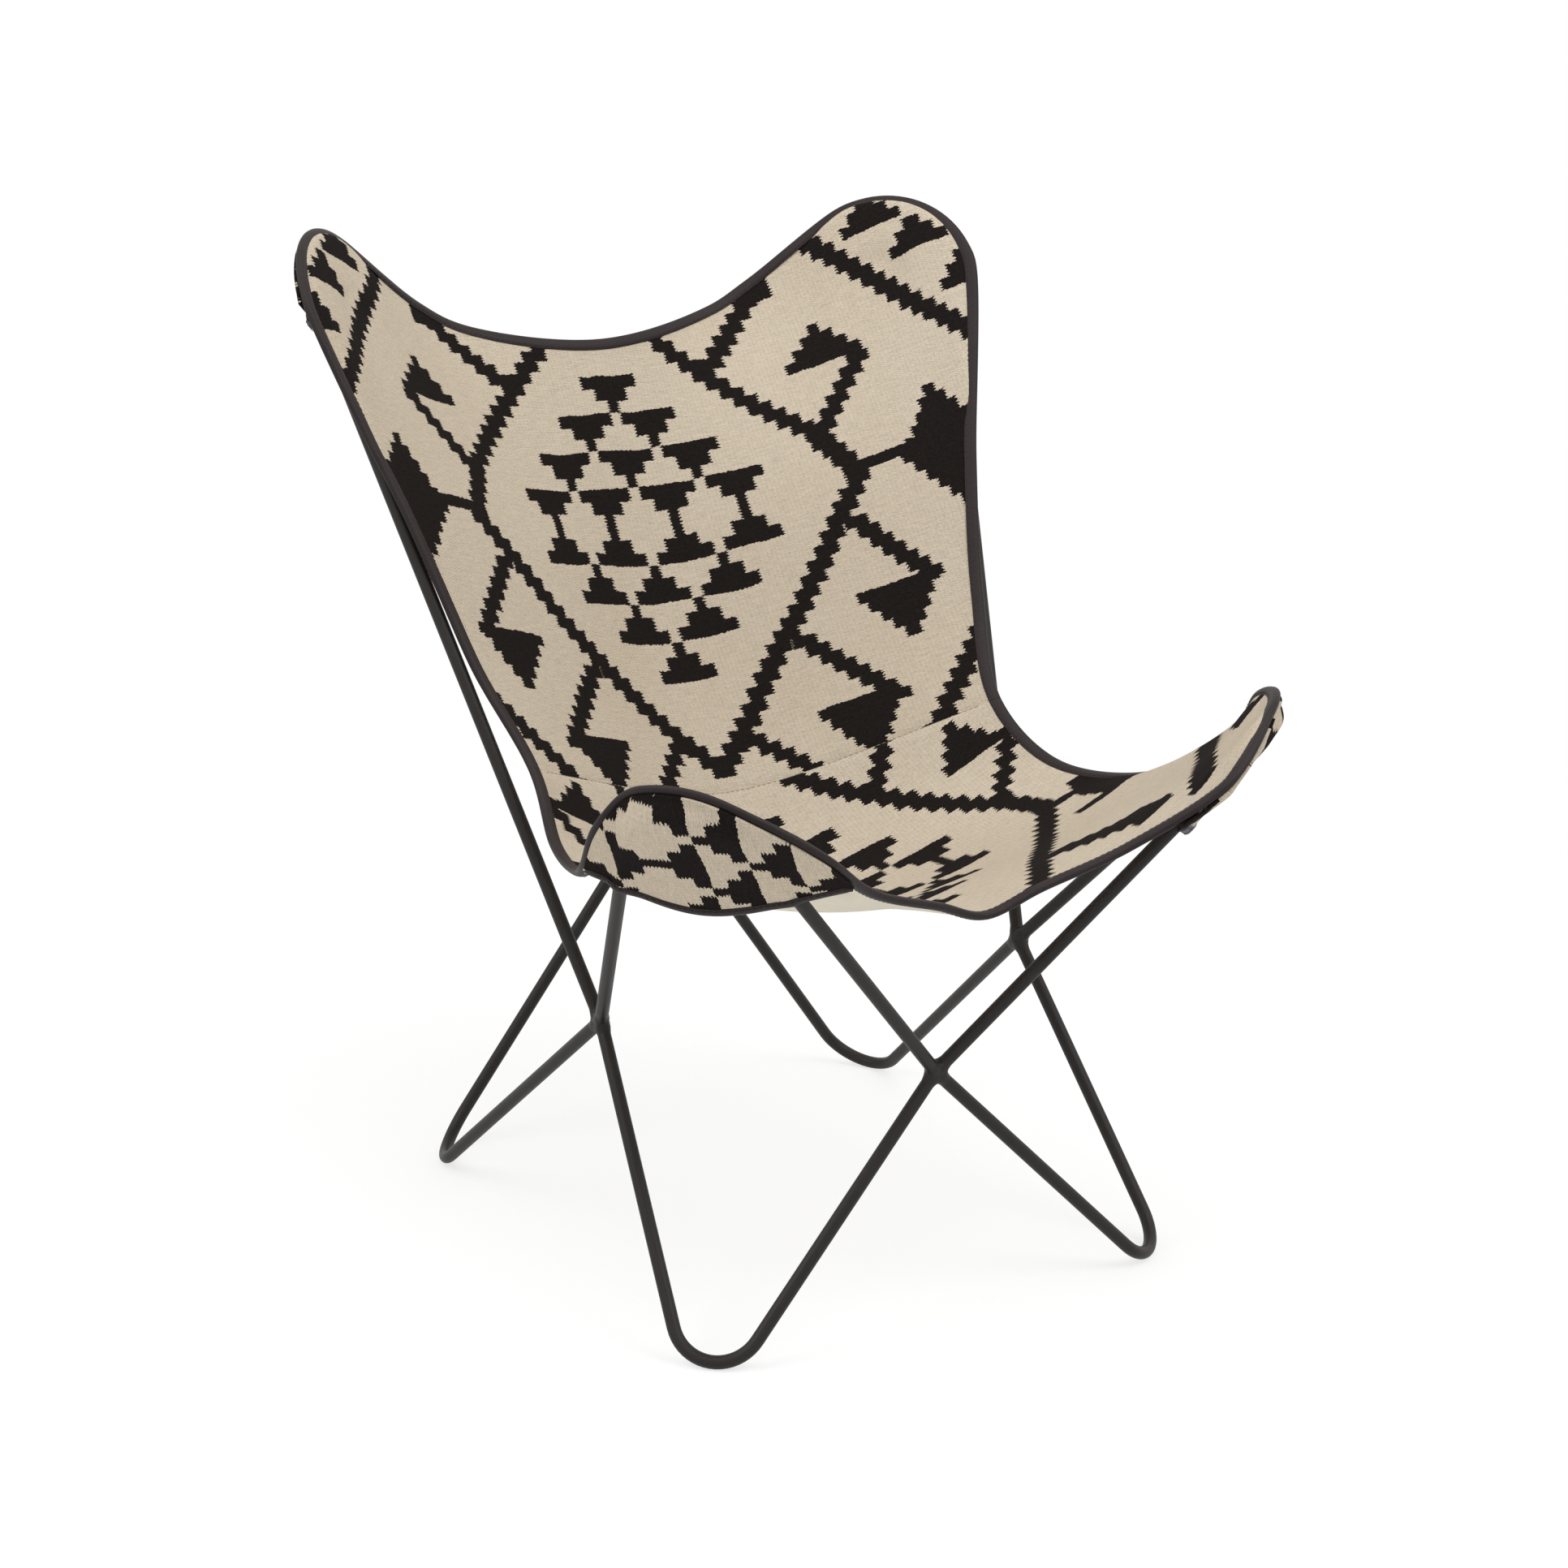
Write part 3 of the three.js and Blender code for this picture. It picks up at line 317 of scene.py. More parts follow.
def panel_rows(side, middle, free_edge, free_at):
    """Points of a panel's middle surface: rows from top to front, columns from right to left."""
    down = np.linspace(0, 1, DOWN + 1)
    seam_row = 0 if free_at else DOWN
    down[abs(seam_row - 1)] = abs((1 - free_at) - SEAM_NARROW)
    s, t = np.meshgrid(np.linspace(-1, 1, ACROSS + 1), down)
    size = np.abs(s)
    point = hung(size, side.at(t), middle.at(t))
    fade = smooth_step((EDGE_FADE - np.abs(t - free_at)) / EDGE_FADE)[..., None]
    at_edge = hung(size, side.at(np.full_like(t, free_at)), middle.at(np.full_like(t, free_at)))
    point = point + (free_edge.at_x(at_edge[..., 0]) - at_edge) * fade
    if free_at:
        from_side = np.linalg.norm(point - side.at(t), axis=-1) / ROLL_FROM_SIDE
        rolled = ROLL_HIGH * (from_side * np.exp(1 - from_side)) ** ROLL_FALL
        rolled = rolled * smooth_step((t - ROLL_ALONG[0]) / ROLL_EASE)
        rolled = rolled * smooth_step((ROLL_ALONG[1] - t) / ROLL_EASE)
        point = point + rolled[..., None] * front_wing["inner"]
    point = lift_off_rod(back_wing, point, back_wing["inner"], REST, REST_WIDE, REST_BY_TIP)
    point = lift_off_rod(front_wing, point, front_wing["inner"], REST, REST_WIDE, REST_BY_TIP)
    point[..., 0] *= np.where(s < 0, -1, 1)
    return point


def rim_of(rows, free_row):
    """Places along the bound edge from seam to seam: point, inward direction, normal to the sitter."""
    last = rows.shape[1] - 1
    seam_row = DOWN - free_row
    down_side = list(range(seam_row, free_row, 1 if free_row else -1))
    index = [(j, 0) for j in down_side] + [(free_row, i) for i in range(last + 1)]
    index += [(j, last) for j in reversed(down_side)]
    edge = np.array([rows[j, i] for j, i in index])
    inner = []
    for j, i in index:
        inside_j = min(max(j, RIM_CLAMP), DOWN - RIM_CLAMP) if abs(j - free_row) < RIM_CLAMP else j
        inner.append(rows[inside_j, min(max(i, RIM_CLAMP), last - RIM_CLAMP)])
    return framed(edge, np.array(inner), 1 if free_row else -1)


def framed(edge, inner, above):
    """Directions at each point of an edge: along it, in towards the inner points, and up from the cloth."""
    tangent = np.gradient(edge, axis=0)
    tangent /= np.linalg.norm(tangent, axis=1)[:, None]
    inwards = inner - edge
    inwards -= (inwards * tangent).sum(1)[:, None] * tangent
    inwards /= np.linalg.norm(inwards, axis=1)[:, None]
    normal = np.cross(tangent, inwards) * above
    return {"edge": edge, "inwards": inwards, "normal": normal, "tangent": tangent}


def surface_normals(rows, towards):
    normal = np.cross(np.gradient(rows, axis=1), np.gradient(rows, axis=0))
    normal /= np.linalg.norm(normal, axis=-1)[..., None] + NEVER_ZERO
    middle = normal[rows.shape[0] // 2, rows.shape[1] // 2]
    return normal if middle @ towards > 0 else -normal


def drawn_in(rows, rim):
    """The cloth's rim moves into the leather's fold, and the cloth next to it follows."""
    moved = rows.reshape(-1, 3).copy()
    gap = np.linalg.norm(moved[:, None] - rim["edge"][None], axis=-1)
    nearest = gap.argmin(1)
    inwards = rim["inwards"][nearest]
    depth = ((moved - rim["edge"][nearest]) * inwards).sum(1)
    near = gap.min(1) < 2 * INSET_FADE
    push = np.where(near, CLOTH_INSET * np.clip(1 - depth / INSET_FADE, 0, 1), 0)
    return (moved + push[:, None] * inwards).reshape(rows.shape)


# Making pieces

def select_only(obj):
    bpy.ops.object.select_all(action="DESELECT")
    obj.select_set(True)
    bpy.context.view_layer.objects.active = obj


def piece_from(name, points, faces):
    mesh = bpy.data.meshes.new(name)
    mesh.from_pydata(in_metres(points).tolist(), [], faces)
    obj = bpy.data.objects.new(name, mesh)
    bpy.context.scene.collection.objects.link(obj)
    select_only(obj)
    return obj


def applied(obj, kind, **settings):
    select_only(obj)
    modifier = obj.modifiers.new(kind, kind)
    for key, value in settings.items():
        setattr(modifier, key, value)
    bpy.ops.object.modifier_apply(modifier=modifier.name)


def finished(obj, material, slot, *nodes):
    select_only(obj)
    bpy.ops.object.shade_smooth_by_angle(angle=math.radians(SMOOTH_UNDER))
    obj.data.materials.clear()
    obj.data.materials.append(material)
    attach(obj, "root")
    if nodes:
        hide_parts(*nodes)
    return obj


def outward_faces(obj):
    select_only(obj)
    bpy.ops.object.mode_set(mode="EDIT")
    bpy.ops.mesh.select_all(action="SELECT")
    bpy.ops.mesh.normals_make_consistent(inside=False)
    bpy.ops.object.mode_set(mode="OBJECT")


# Rods: a disc is pushed along the first leg, spun round the bend and pushed along the second leg

def push_disc(vector):
    step = Vector(vector) * MM / LEG_STEPS
    for _ in range(LEG_STEPS):
        bpy.ops.mesh.extrude_region_move(TRANSFORM_OT_translate={"value": step})


def bent_rod(name, bend, material, node):
    tangent_length = bend["radius"] / math.tan(bend["half"])
    to_corner = unit(bend["corner"] - bend["start"])
    from_corner = unit(bend["end"] - bend["corner"])
    first = bend["start"] + to_corner * ROD_FROM_WELD
    last = bend["end"] - from_corner * ROD_FROM_WELD
    bend_start = bend["corner"] - to_corner * tangent_length
    bend_end = bend["corner"] + from_corner * tangent_length
    heading = Vector(to_corner).to_track_quat("Z", "Y").to_euler()
    bpy.ops.object.select_all(action="DESELECT")
    bpy.ops.mesh.primitive_circle_add(vertices=ROD_SIDES, radius=ROD * MM, fill_type="NGON",
                                      location=in_metres(first), rotation=heading)
    rod = bpy.context.object
    rod.name = name
    bpy.ops.object.mode_set(mode="EDIT")
    bpy.ops.mesh.select_all(action="SELECT")
    push_disc(bend_start - first)
    bpy.ops.mesh.spin(steps=BEND_STEPS, angle=bend["sweep"], center=in_metres(bend["centre"]),
                      axis=bend["normal"])
    push_disc(last - bend_end)
    bpy.ops.object.mode_set(mode="OBJECT")
    bpy.ops.object.transform_apply(location=True, rotation=True, scale=True)
    outward_faces(rod)
    return finished(rod, material, "black_steel", node)


# Welds: the solid's own crossing, with its filler melted to soft hollows

WELD_VOXEL = 0.7
WELD_MELT = 22  # rounds of smoothing
WELD_SWELL = 1.5
WELD_JOIN = 0.00001
FILLER_OUT = 17  # the filler thins out to nothing at this distance from the crossing
FILLER_FADE = 10


def melted_weld(name, material, node, centre):
    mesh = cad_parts[node].data.copy()
    weld = bpy.data.objects.new(name, mesh)
    bpy.context.scene.collection.objects.link(weld)
    select_only(weld)
    bpy.ops.object.mode_set(mode="EDIT")
    bpy.ops.mesh.select_all(action="SELECT")
    bpy.ops.mesh.remove_doubles(threshold=WELD_JOIN)
    bpy.ops.object.mode_set(mode="OBJECT")
    applied(weld, "REMESH", mode="VOXEL", voxel_size=WELD_VOXEL * MM)
    applied(weld, "SMOOTH", factor=0.5, iterations=WELD_MELT)
    filler = weld.vertex_groups.new(name="filler")
    for vertex in weld.data.vertices:
        distance = np.linalg.norm(np.array(vertex.co) - in_metres(centre)) / MM
        filler.add([vertex.index], float(smooth_step((FILLER_OUT - distance) / FILLER_FADE)), "REPLACE")
    applied(weld, "DISPLACE", strength=WELD_SWELL * MM, mid_level=0, vertex_group="filler")
    return finished(weld, material, "black_steel", node)


# Cloth: a grid of points, laid flat for its weave, then given its thickness

def grid_faces(rows, wide, flip):
    faces = []
    for j in range(rows - 1):
        for i in range(wide - 1):
            a = j * wide + i
            face = (a, a + 1, a + wide + 1, a + wide)
            faces.append(face[::-1] if flip else face)
    return faces


def laid_flat(obj, shape, cut):
    """Unwraps the sheet in true size: its middle column runs from the cut's place on the woven length."""
    select_only(obj)
    bpy.ops.object.mode_set(mode="EDIT")
    bpy.ops.mesh.select_all(action="SELECT")
    bpy.ops.uv.unwrap(method="ANGLE_BASED", margin=0)
    bpy.ops.object.mode_set(mode="OBJECT")
    mesh = obj.data
    layer = mesh.uv_layers.active
    layer.name = "cloth"
    corner = np.zeros(len(mesh.loops), int)
    mesh.loops.foreach_get("vertex_index", corner)
    loose = np.zeros(len(mesh.loops) * 2)
    layer.data.foreach_get("uv", loose)
    flat = np.zeros((len(mesh.vertices), 2))
    flat[corner] = loose.reshape(-1, 2)
    flat = flat.reshape(*shape, 2)
    solid = np.array([v.co for v in mesh.vertices]).reshape(*shape, 3)
    middle = shape[1] // 2
    down = unit(flat[-1, middle] - flat[0, middle])
    left = np.array([-down[1], down[0]])
    flat = flat - flat[0, middle]
    flat = np.stack([flat @ left, -(flat @ down)], axis=-1)
    if flat[shape[0] // 2, -1, 0] < 0:
        flat[..., 0] *= -1
    real = sum(np.linalg.norm(np.diff(solid, axis=k), axis=-1).sum() for k in (0, 1))
    drawn = sum(np.linalg.norm(np.diff(flat, axis=k), axis=-1).sum() for k in (0, 1))
    flat *= real / drawn
    across, along, turn = cut
    turned = flat @ np.array([[math.cos(turn), math.sin(turn)], [-math.sin(turn), math.cos(turn)]])
    turned += np.array([across, along]) * MM
    layer.data.foreach_set("uv", turned.reshape(-1, 2)[corner].ravel())
    return flat


def flat_cut(flat):
    """Width and length of a cut, and its area: the sum of its cells laid flat."""
    width, length = np.ptp(flat.reshape(-1, 2), axis=0)
    one = flat[1:, 1:] - flat[:-1, :-1]
    other = flat[1:, :-1] - flat[:-1, 1:]
    area = np.abs(one[..., 0] * other[..., 1] - one[..., 1] * other[..., 0]).sum() / 2
    return (float(width), float(length)), float(area)


def cloth(name, rows, normals, height, thickness, material, slot, node, cut=(0, 0, 0)):
    points = rows + normals * height
    mid_j, mid_i = rows.shape[0] // 2, rows.shape[1] // 2
    edge_a = points[mid_j + 1, mid_i] - points[mid_j, mid_i]
    edge_b = points[mid_j, mid_i + 1] - points[mid_j, mid_i]
    flip = np.cross(edge_b, edge_a) @ normals[mid_j, mid_i] < 0
    obj = piece_from(name, points.reshape(-1, 3), grid_faces(*rows.shape[:2], flip))
    flat = laid_flat(obj, rows.shape[:2], cut)
    applied(obj, "SOLIDIFY", thickness=thickness * MM, offset=0, use_even_offset=False)
    return finished(obj, material, slot, node), flat


# Leather: a section swept along a rim, closed at both ends

# Depth from the edge and height: round the outside, then the fold that takes the cloth
EDGE_SECTION = [
    (12.0, 2.68), (11.95, 3.05), (11.2, 3.5), (9.2, 4.15), (6.4, 4.5), (3.6, 4.2), (1.5, 3.35),
    (0.35, 2.05), (0, 0.7), (0.35, -0.7), (1.5, -1.95), (3.6, -2.8), (6.4, -3.1), (9.2, -2.8),
    (11.2, -2.2), (11.95, -1.75), (12.0, -1.28),
    (7.0, -1.25), (2.3, -1.25), (2.3, 2.65), (7.0, 2.65),
]
HEM_SECTION = [
    (10.0, 1.3), (9.95, 1.8), (9.3, 2.25), (7.7, 2.8), (5.4, 3.1), (3.1, 2.9), (1.35, 2.15), (0.3, 1.1),
    (0, 0), (0.3, -1.1), (1.35, -2.15), (3.1, -2.9), (5.4, -3.1), (7.7, -2.8), (9.3, -2.25),
    (9.95, -1.8), (10.0, -1.3),
    (6.0, -1.28), (1.9, -1.28), (1.9, 1.28), (6.0, 1.28),
]
LEAST_HEIGHT = 0.35  # a section that is drawn narrower keeps this share of its height


def leather(name, rim, section, material, node):
    """Where the rim has a size below 1, the section is drawn smaller."""
    count, sides = len(rim["edge"]), len(section)
    size = rim.get("size", np.ones(count))[:, None, None]
    depth = size * np.array([d for d, _ in section])[None, :, None]
    height = (LEAST_HEIGHT + (1 - LEAST_HEIGHT) * size) * np.array([h for _, h in section])[None, :, None]
    points = rim["edge"][:, None] + rim["inwards"][:, None] * depth + rim["normal"][:, None] * height
    faces = []
    for ring in range(count - 1):
        for side in range(sides):
            a, b = ring * sides + side, ring * sides + (side + 1) % sides
            faces.append((a, b, b + sides, a + sides))
    end = (count - 1) * sides
    faces += [tuple(range(sides)), tuple(range(end, end + sides))]
    obj = piece_from(name, points.reshape(-1, 3), faces)
    outward_faces(obj)
    return finished(obj, material, "leather", node)


# Stitches: one rounded stitch, copied along a line of sewing

STITCH = (2.1, 0.42, 0.42)  # half length, half width and half height
STITCH_PITCH = 5.6
# Rows of sewing over and under the leather: depth from the edge and height
EDGE_SEWING = [(9.8, 3.92), (9.8, -2.6)]
HEM_SEWING = [(7.9, 2.74), (7.9, -2.74)]
THREAD_UP = 0.2  # seam thread over the cloth's face


def one_stitch():
    bpy.ops.object.select_all(action="DESELECT")
    bpy.ops.mesh.primitive_uv_sphere_add(segments=6, ring_count=5, radius=1)
    ball = bpy.context.object
    points = np.array([v.co for v in ball.data.vertices])[:, [2, 0, 1]] * STITCH
    faces = [tuple(p.vertices) for p in ball.data.polygons]
    bpy.data.meshes.remove(ball.data)
    return points, faces


stitch_points, stitch_faces = one_stitch()


def sewing(name, rim, lines, material, slot):
    """Rows of stitches along a rim, each row at a depth and a height from it."""
    run = np.concatenate([[0], np.cumsum(np.linalg.norm(np.diff(rim["edge"], axis=0), axis=1))])
    places = np.arange(STITCH_PITCH, run[-1] - STITCH_PITCH, STITCH_PITCH)
    edge, tangent, inwards, normal = (
        np.stack([np.interp(places, run, rim[key][:, k]) for k in range(3)], axis=-1)[:, None]
        for key in ("edge", "tangent", "inwards", "normal"))
    copies = [edge + inwards * (depth + stitch_points[None, :, 1:2]) + tangent * stitch_points[None, :, 0:1]
              + normal * (height + stitch_points[None, :, 2:3]) for depth, height in lines]
    points = np.concatenate(copies).reshape(-1, 3)
    count = len(stitch_points)
    faces = [tuple(first + v for v in face)
             for first in range(0, len(points), count) for face in stitch_faces]
    obj = piece_from(name, points, faces)
    outward_faces(obj)
    return finished(obj, material, slot)


# Pockets: each hangs from the bound edge, goes round the outside of its rod and ends in a hem

def nearest_place(rim, point):
    return int(np.linalg.norm(rim["edge"] - point, axis=1).argmin())


def pocket_rows(wing, rim, first, last, profile, legs, end_drop, bulge):
    """Rows of a pocket from the bound edge to its hem, between two places of the rim."""
    outwards = -wing["inner"]
    step = 1 if last > first else -1
    stop = last + step if last + step >= 0 else None
    edge, inwards, normal = (rim[k][first:stop:step] for k in ("edge", "inwards", "normal"))
    share = np.concatenate([[0], np.cumsum(np.linalg.norm(np.diff(edge, axis=0), axis=1))])
    share /= share[-1]
    round_share = smooth_step(np.minimum(share, 1 - share) / POCKET_EASE)[:, None]

    def off_rod(points, rest):
        return lift_off_rod(wing, points, outwards, rest, BETWEEN_LEGS, ROUND_ROD)

    def hem_end(k):
        inward = unit(inwards[k] + wing["inwards"])
        return edge[k] + inward * end_drop - normal[k] * lowest

    lowest = profile[-1][3]
    rows = []
    for inset, below, flat_inset, flat_below in profile:
        depth = flat_inset + (inset - flat_inset) * round_share
        drop = flat_below + (below - flat_below) * round_share
        rows.append(edge + inwards * depth - normal * drop)
    rows[-1] = off_rod(rows[-1], POCKET_REST)
    on_legs = [wing[end] + (wing["corner"] - wing[end]) * leg for end, leg in zip(("end", "start"), legs)]
    swell = sum(on_legs) / 2 + outwards * (HEM_REST + bulge)
    hem = EdgeCurve([hem_end(0), swell, hem_end(-1)], 0, 2).at(share)
    flat = np.minimum(HEM_FLAT_MOST, HEM_FLAT / np.linalg.norm(hem - rows[-1], axis=1))[:, None]
    above = rows[-1]
    for row in range(1, POCKET_ROWS + 1):
        down = 1 if row == POCKET_ROWS else row / (POCKET_ROWS - 1) * (1 - flat)
        rest = POCKET_REST if row < POCKET_ROWS - 1 else HEM_REST
        rows.append(off_rod(above + (hem - above) * down, rest))
    return np.array(rows)


def finer_rows(rows):
    """More rows, on smooth curves through the given ones."""
    places = np.linspace(0, len(rows) - 1, (len(rows) - 1) * PROFILE_STEPS + 1)
    columns = [np.array([EdgeCurve.through(rows[:, k], p) for p in places]) for k in range(rows.shape[1])]
    return np.stack(columns, axis=1)


def hem_rim(rows):
    """The mouth of a pocket, with a smaller size where the pocket is narrow."""
    edge = rows[-1]
    inner = rows[-1 - PROFILE_STEPS]
    width = np.clip(np.linalg.norm(edge - rows[0], axis=1) - HEM_SHORT, HEM_NARROWEST, HEM_WIDEST)
    return {**framed(edge, inner, 1), "size": width / HEM_WIDEST}


# Materials

class Finish:
    """One material and a short way to write its nodes."""

    def __init__(self, name):
        self.material = bpy.data.materials.new(name)
        self.material.use_nodes = True
        self.tree = self.material.node_tree
        self.tree.nodes.clear()
        self.surface = self.tree.nodes.new("ShaderNodeBsdfPrincipled")
        output = self.tree.nodes.new("ShaderNodeOutputMaterial")
        self.tree.links.new(self.surface.outputs[0], output.inputs[0])

    def put(self, socket, value):
        if isinstance(value, bpy.types.NodeSocket):
            self.tree.links.new(value, socket)
        else:
            socket.default_value = value

    def node(self, kind, inputs=(), **settings):
        made = self.tree.nodes.new(kind)
        for key, value in settings.items():
            setattr(made, key, value)
        for key, value in dict(inputs).items():
            self.put(made.inputs[key], value)
        return made

    def calc(self, operation, *values):
        made = self.node("ShaderNodeMath", operation=operation)
        for k, value in enumerate(values):
            self.put(made.inputs[k], value)
        return made.outputs[0]

    def blend(self, share, one, other):
        made = self.node("ShaderNodeMix", data_type="RGBA")
        self.put(made.inputs[0], share)
        self.put(made.inputs[6], one)
        self.put(made.inputs[7], other)
        return made.outputs[2]

    def noise(self, place, scale, detail=3.0, roughness=0.55):
        made = self.node("ShaderNodeTexNoise",
                         {"Vector": place, "Scale": scale, "Detail": detail, "Roughness": roughness})
        return made.outputs[0]

    def spread(self, value, low, high):
        made = self.node("ShaderNodeMapRange", {"Value": value, "To Min": low, "To Max": high})
        return made.outputs[0]

    def varied(self, value, *noises):
        """Adds noises to a value, each spread between two limits."""
        for noise, low, high in noises:
            value = self.calc("ADD", value, self.spread(noise, low, high))
        return value

    def stretched(self, place, scale):
        return self.node("ShaderNodeMapping", {"Vector": place, "Scale": scale}).outputs[0]

    def relief(self, height, distance, strength=1.0):
        bump = self.node("ShaderNodeBump", {"Height": height, "Distance": distance, "Strength": strength})
        self.put(self.surface.inputs["Normal"], bump.outputs[0])

    def set(self, **values):
        for key, value in values.items():
            self.put(self.surface.inputs[key.replace("_", " ")], value)

    def object_place(self):
        return self.node("ShaderNodeTexCoord").outputs["Object"]


def painted_steel():
    finish = Finish("black_painted_steel")
    place = finish.object_place()
    patch = finish.noise(place, 22.0, 4.0)
    peel = finish.noise(place, 900.0, 2.0)
    finish.set(Base_Color=finish.blend(patch, (0.0095, 0.0075, 0.007, 1), (0.0185, 0.015, 0.014, 1)),
               Roughness=finish.spread(patch, 0.4, 0.54), Specular_IOR_Level=0.24)
    finish.relief(peel, 0.0002, 0.5)
    return finish.material


def dark_leather():
    finish = Finish("dark_brown_leather")
    place = finish.object_place()
    cells = finish.node("ShaderNodeTexVoronoi", {"Vector": place, "Scale": 620.0}, feature="SMOOTH_F1")
    patch = finish.noise(place, 30.0, 4.0)
    finish.set(Base_Color=finish.blend(patch, (0.0115, 0.0078, 0.0076, 1), (0.025, 0.018, 0.0175, 1)),
               Roughness=finish.spread(patch, 0.44, 0.6), Specular_IOR_Level=0.16)
    finish.relief(finish.calc("MULTIPLY_ADD", patch, 0.6, cells.outputs[0]), 0.0004, 0.7)
    return finish.material


def thread_of(name, colour):
    finish = Finish(name)
    ply = finish.noise(finish.object_place(), 1500.0, 2.0)
    dark = tuple(0.6 * c for c in colour)
    finish.set(Base_Color=finish.blend(ply, (*dark, 1), (*colour, 1)), Roughness=0.85,
               Specular_IOR_Level=0.1)
    return finish.material


# Kilim: flat-woven wool. Its pattern is woven in rows of one height; each motif is a number of rows with a
# place across, a shift from row to row, a half width and a growth of that from row to row.

ROW = 12.0
LINE = 12.8  # half width of a stepped line
TOOTH = 3.2  # height of the fine teeth along upright edges
TOOTH_DEPTH = 1.6
PICK = 1.25  # height of one pick of weft
WARP = 2.4  # width of one warp thread
# pitch of the warp ribs, which are painted as shade into the cloth's colour
RIB_PITCH = 4.2
CANVAS_THREAD = 1.6
# (place across, top, rows, shift, half width, growth), on the cloth's left half; the right half mirrors it
BACK_LATTICE = [
    (60, 8, 13, 11.5, LINE, 0), (202, -148, 4, 6.5, LINE, 0), (222, -196, 22, -10.6, LINE, 0),
    (184, 44, 7, -10.9, LINE, 0), (248, 76, 15, 9.4, LINE, 0), (370, -290, 18, -10.6, LINE, 0),
    (42, -420, 6, 10.5, 11, 0),
]
BACK_HOOKS = [
    (262, -70, 6, -10.8, 12, 0), (230, -22, 4, 0, 6, 11.5), (183, 48, 2, 0, 20, 0),
    (206, -240, 7, 8.8, 12, 0), (223, -316, 5, 0, 42, -8.5),
    (120, -340, 8, 9.7, 12, 0), (150, -420, 6, 0, 42, -7.6),
]
BACK_LOZENGES = [(258, -184, 1, 0, 30, 0), (318, -132, 6, 0, 6, 8.5), (318, -204, 5, 0, 40, -8.5)]
TIP_TRIANGLES = [(322, 84, 3, 0, 10, 11), (360, 44, 3, 0, 9, 11), (397, -8, 3, 0, 9, 11)]
SEAT_LATTICE = [
    (62, 0, 14, 10.6, LINE, 0), (207, -168, 3, 4, LINE, 0), (214, -204, 21, -8.2, LINE, 0),
    (158, -14, 4, -11, 12, 0), (333, -342, 12, -9.6, 19, 0),
]
SEAT_HOOKS = [
    (258, -84, 6, -11, 11, 0), (216, -46, 4, 0, 7, 9), (262, -254, 1, 0, 46, 0),
    (122, -362, 7, 11.6, 24, 0), (188, -404, 4, 0, 14, 3), (324, -418, 3, 1, 11, 6),
]
SEAT_LOZENGES = [(235, -205, 1, 0, 24, 0), (292, -186, 3, 0, 39, 4), (292, -222, 3, 0, 47, -4)]
# The seat is cut one repeat further along the woven length than the back
REPEAT = 1000
SEAT_ALONG = 3
# Medallion of stepped triangles in rows of one to four, and the field of them that the pockets are cut from
MEDALLION_MIDDLE = -195
TRIANGLE_HIGH = 40
TRIANGLE_WIDE = 70
TRIANGLE_STEM = 5.5
TRIANGLE_STEPS = 3
TRIANGLE_STEP = 12
FIELD_FROM = 300
FIELD_MIDDLE = 600


def woven_motif(finish, across, along, motif, repeats):
    calc = finish.calc
    place, top, rows, shift, half, growth = motif
    top = top - repeats * REPEAT
    row = calc("FLOOR", calc("MULTIPLY_ADD", along, -1 / ROW, top / ROW))
    centre = calc("MULTIPLY_ADD", row, shift, place) if shift else place
    width = calc("MULTIPLY_ADD", row, growth, half) if growth else half
    from_centre = calc("ABSOLUTE", calc("SUBTRACT", across, centre))
    inside = calc("LESS_THAN", from_centre, width)
    in_rows = calc("COMPARE", row, (rows - 1) / 2, rows / 2 - 0.25)
    return calc("MULTIPLY", inside, in_rows)


def stepped_triangles(finish, across, height):
    """Rows of triangles that step out from stem to bar; returns the mask and the row."""
    calc = finish.calc
    row = calc("FLOOR", calc("DIVIDE", height, TRIANGLE_HIGH))
    odd = calc("MODULO", calc("ABSOLUTE", row), 2)
    offset = calc("MULTIPLY_ADD", odd, TRIANGLE_WIDE / 2, across)
    in_triangle = calc("FLOORED_MODULO", offset, TRIANGLE_WIDE)
    from_middle = calc("SUBTRACT", in_triangle, TRIANGLE_WIDE / 2)
    climb = calc("FRACT", calc("DIVIDE", height, TRIANGLE_HIGH))
    step = calc("FLOOR", calc("MULTIPLY", climb, TRIANGLE_STEPS))
    width = calc("MULTIPLY_ADD", step, TRIANGLE_STEP, TRIANGLE_STEM)
    return calc("LESS_THAN", calc("ABSOLUTE", from_middle), width), row


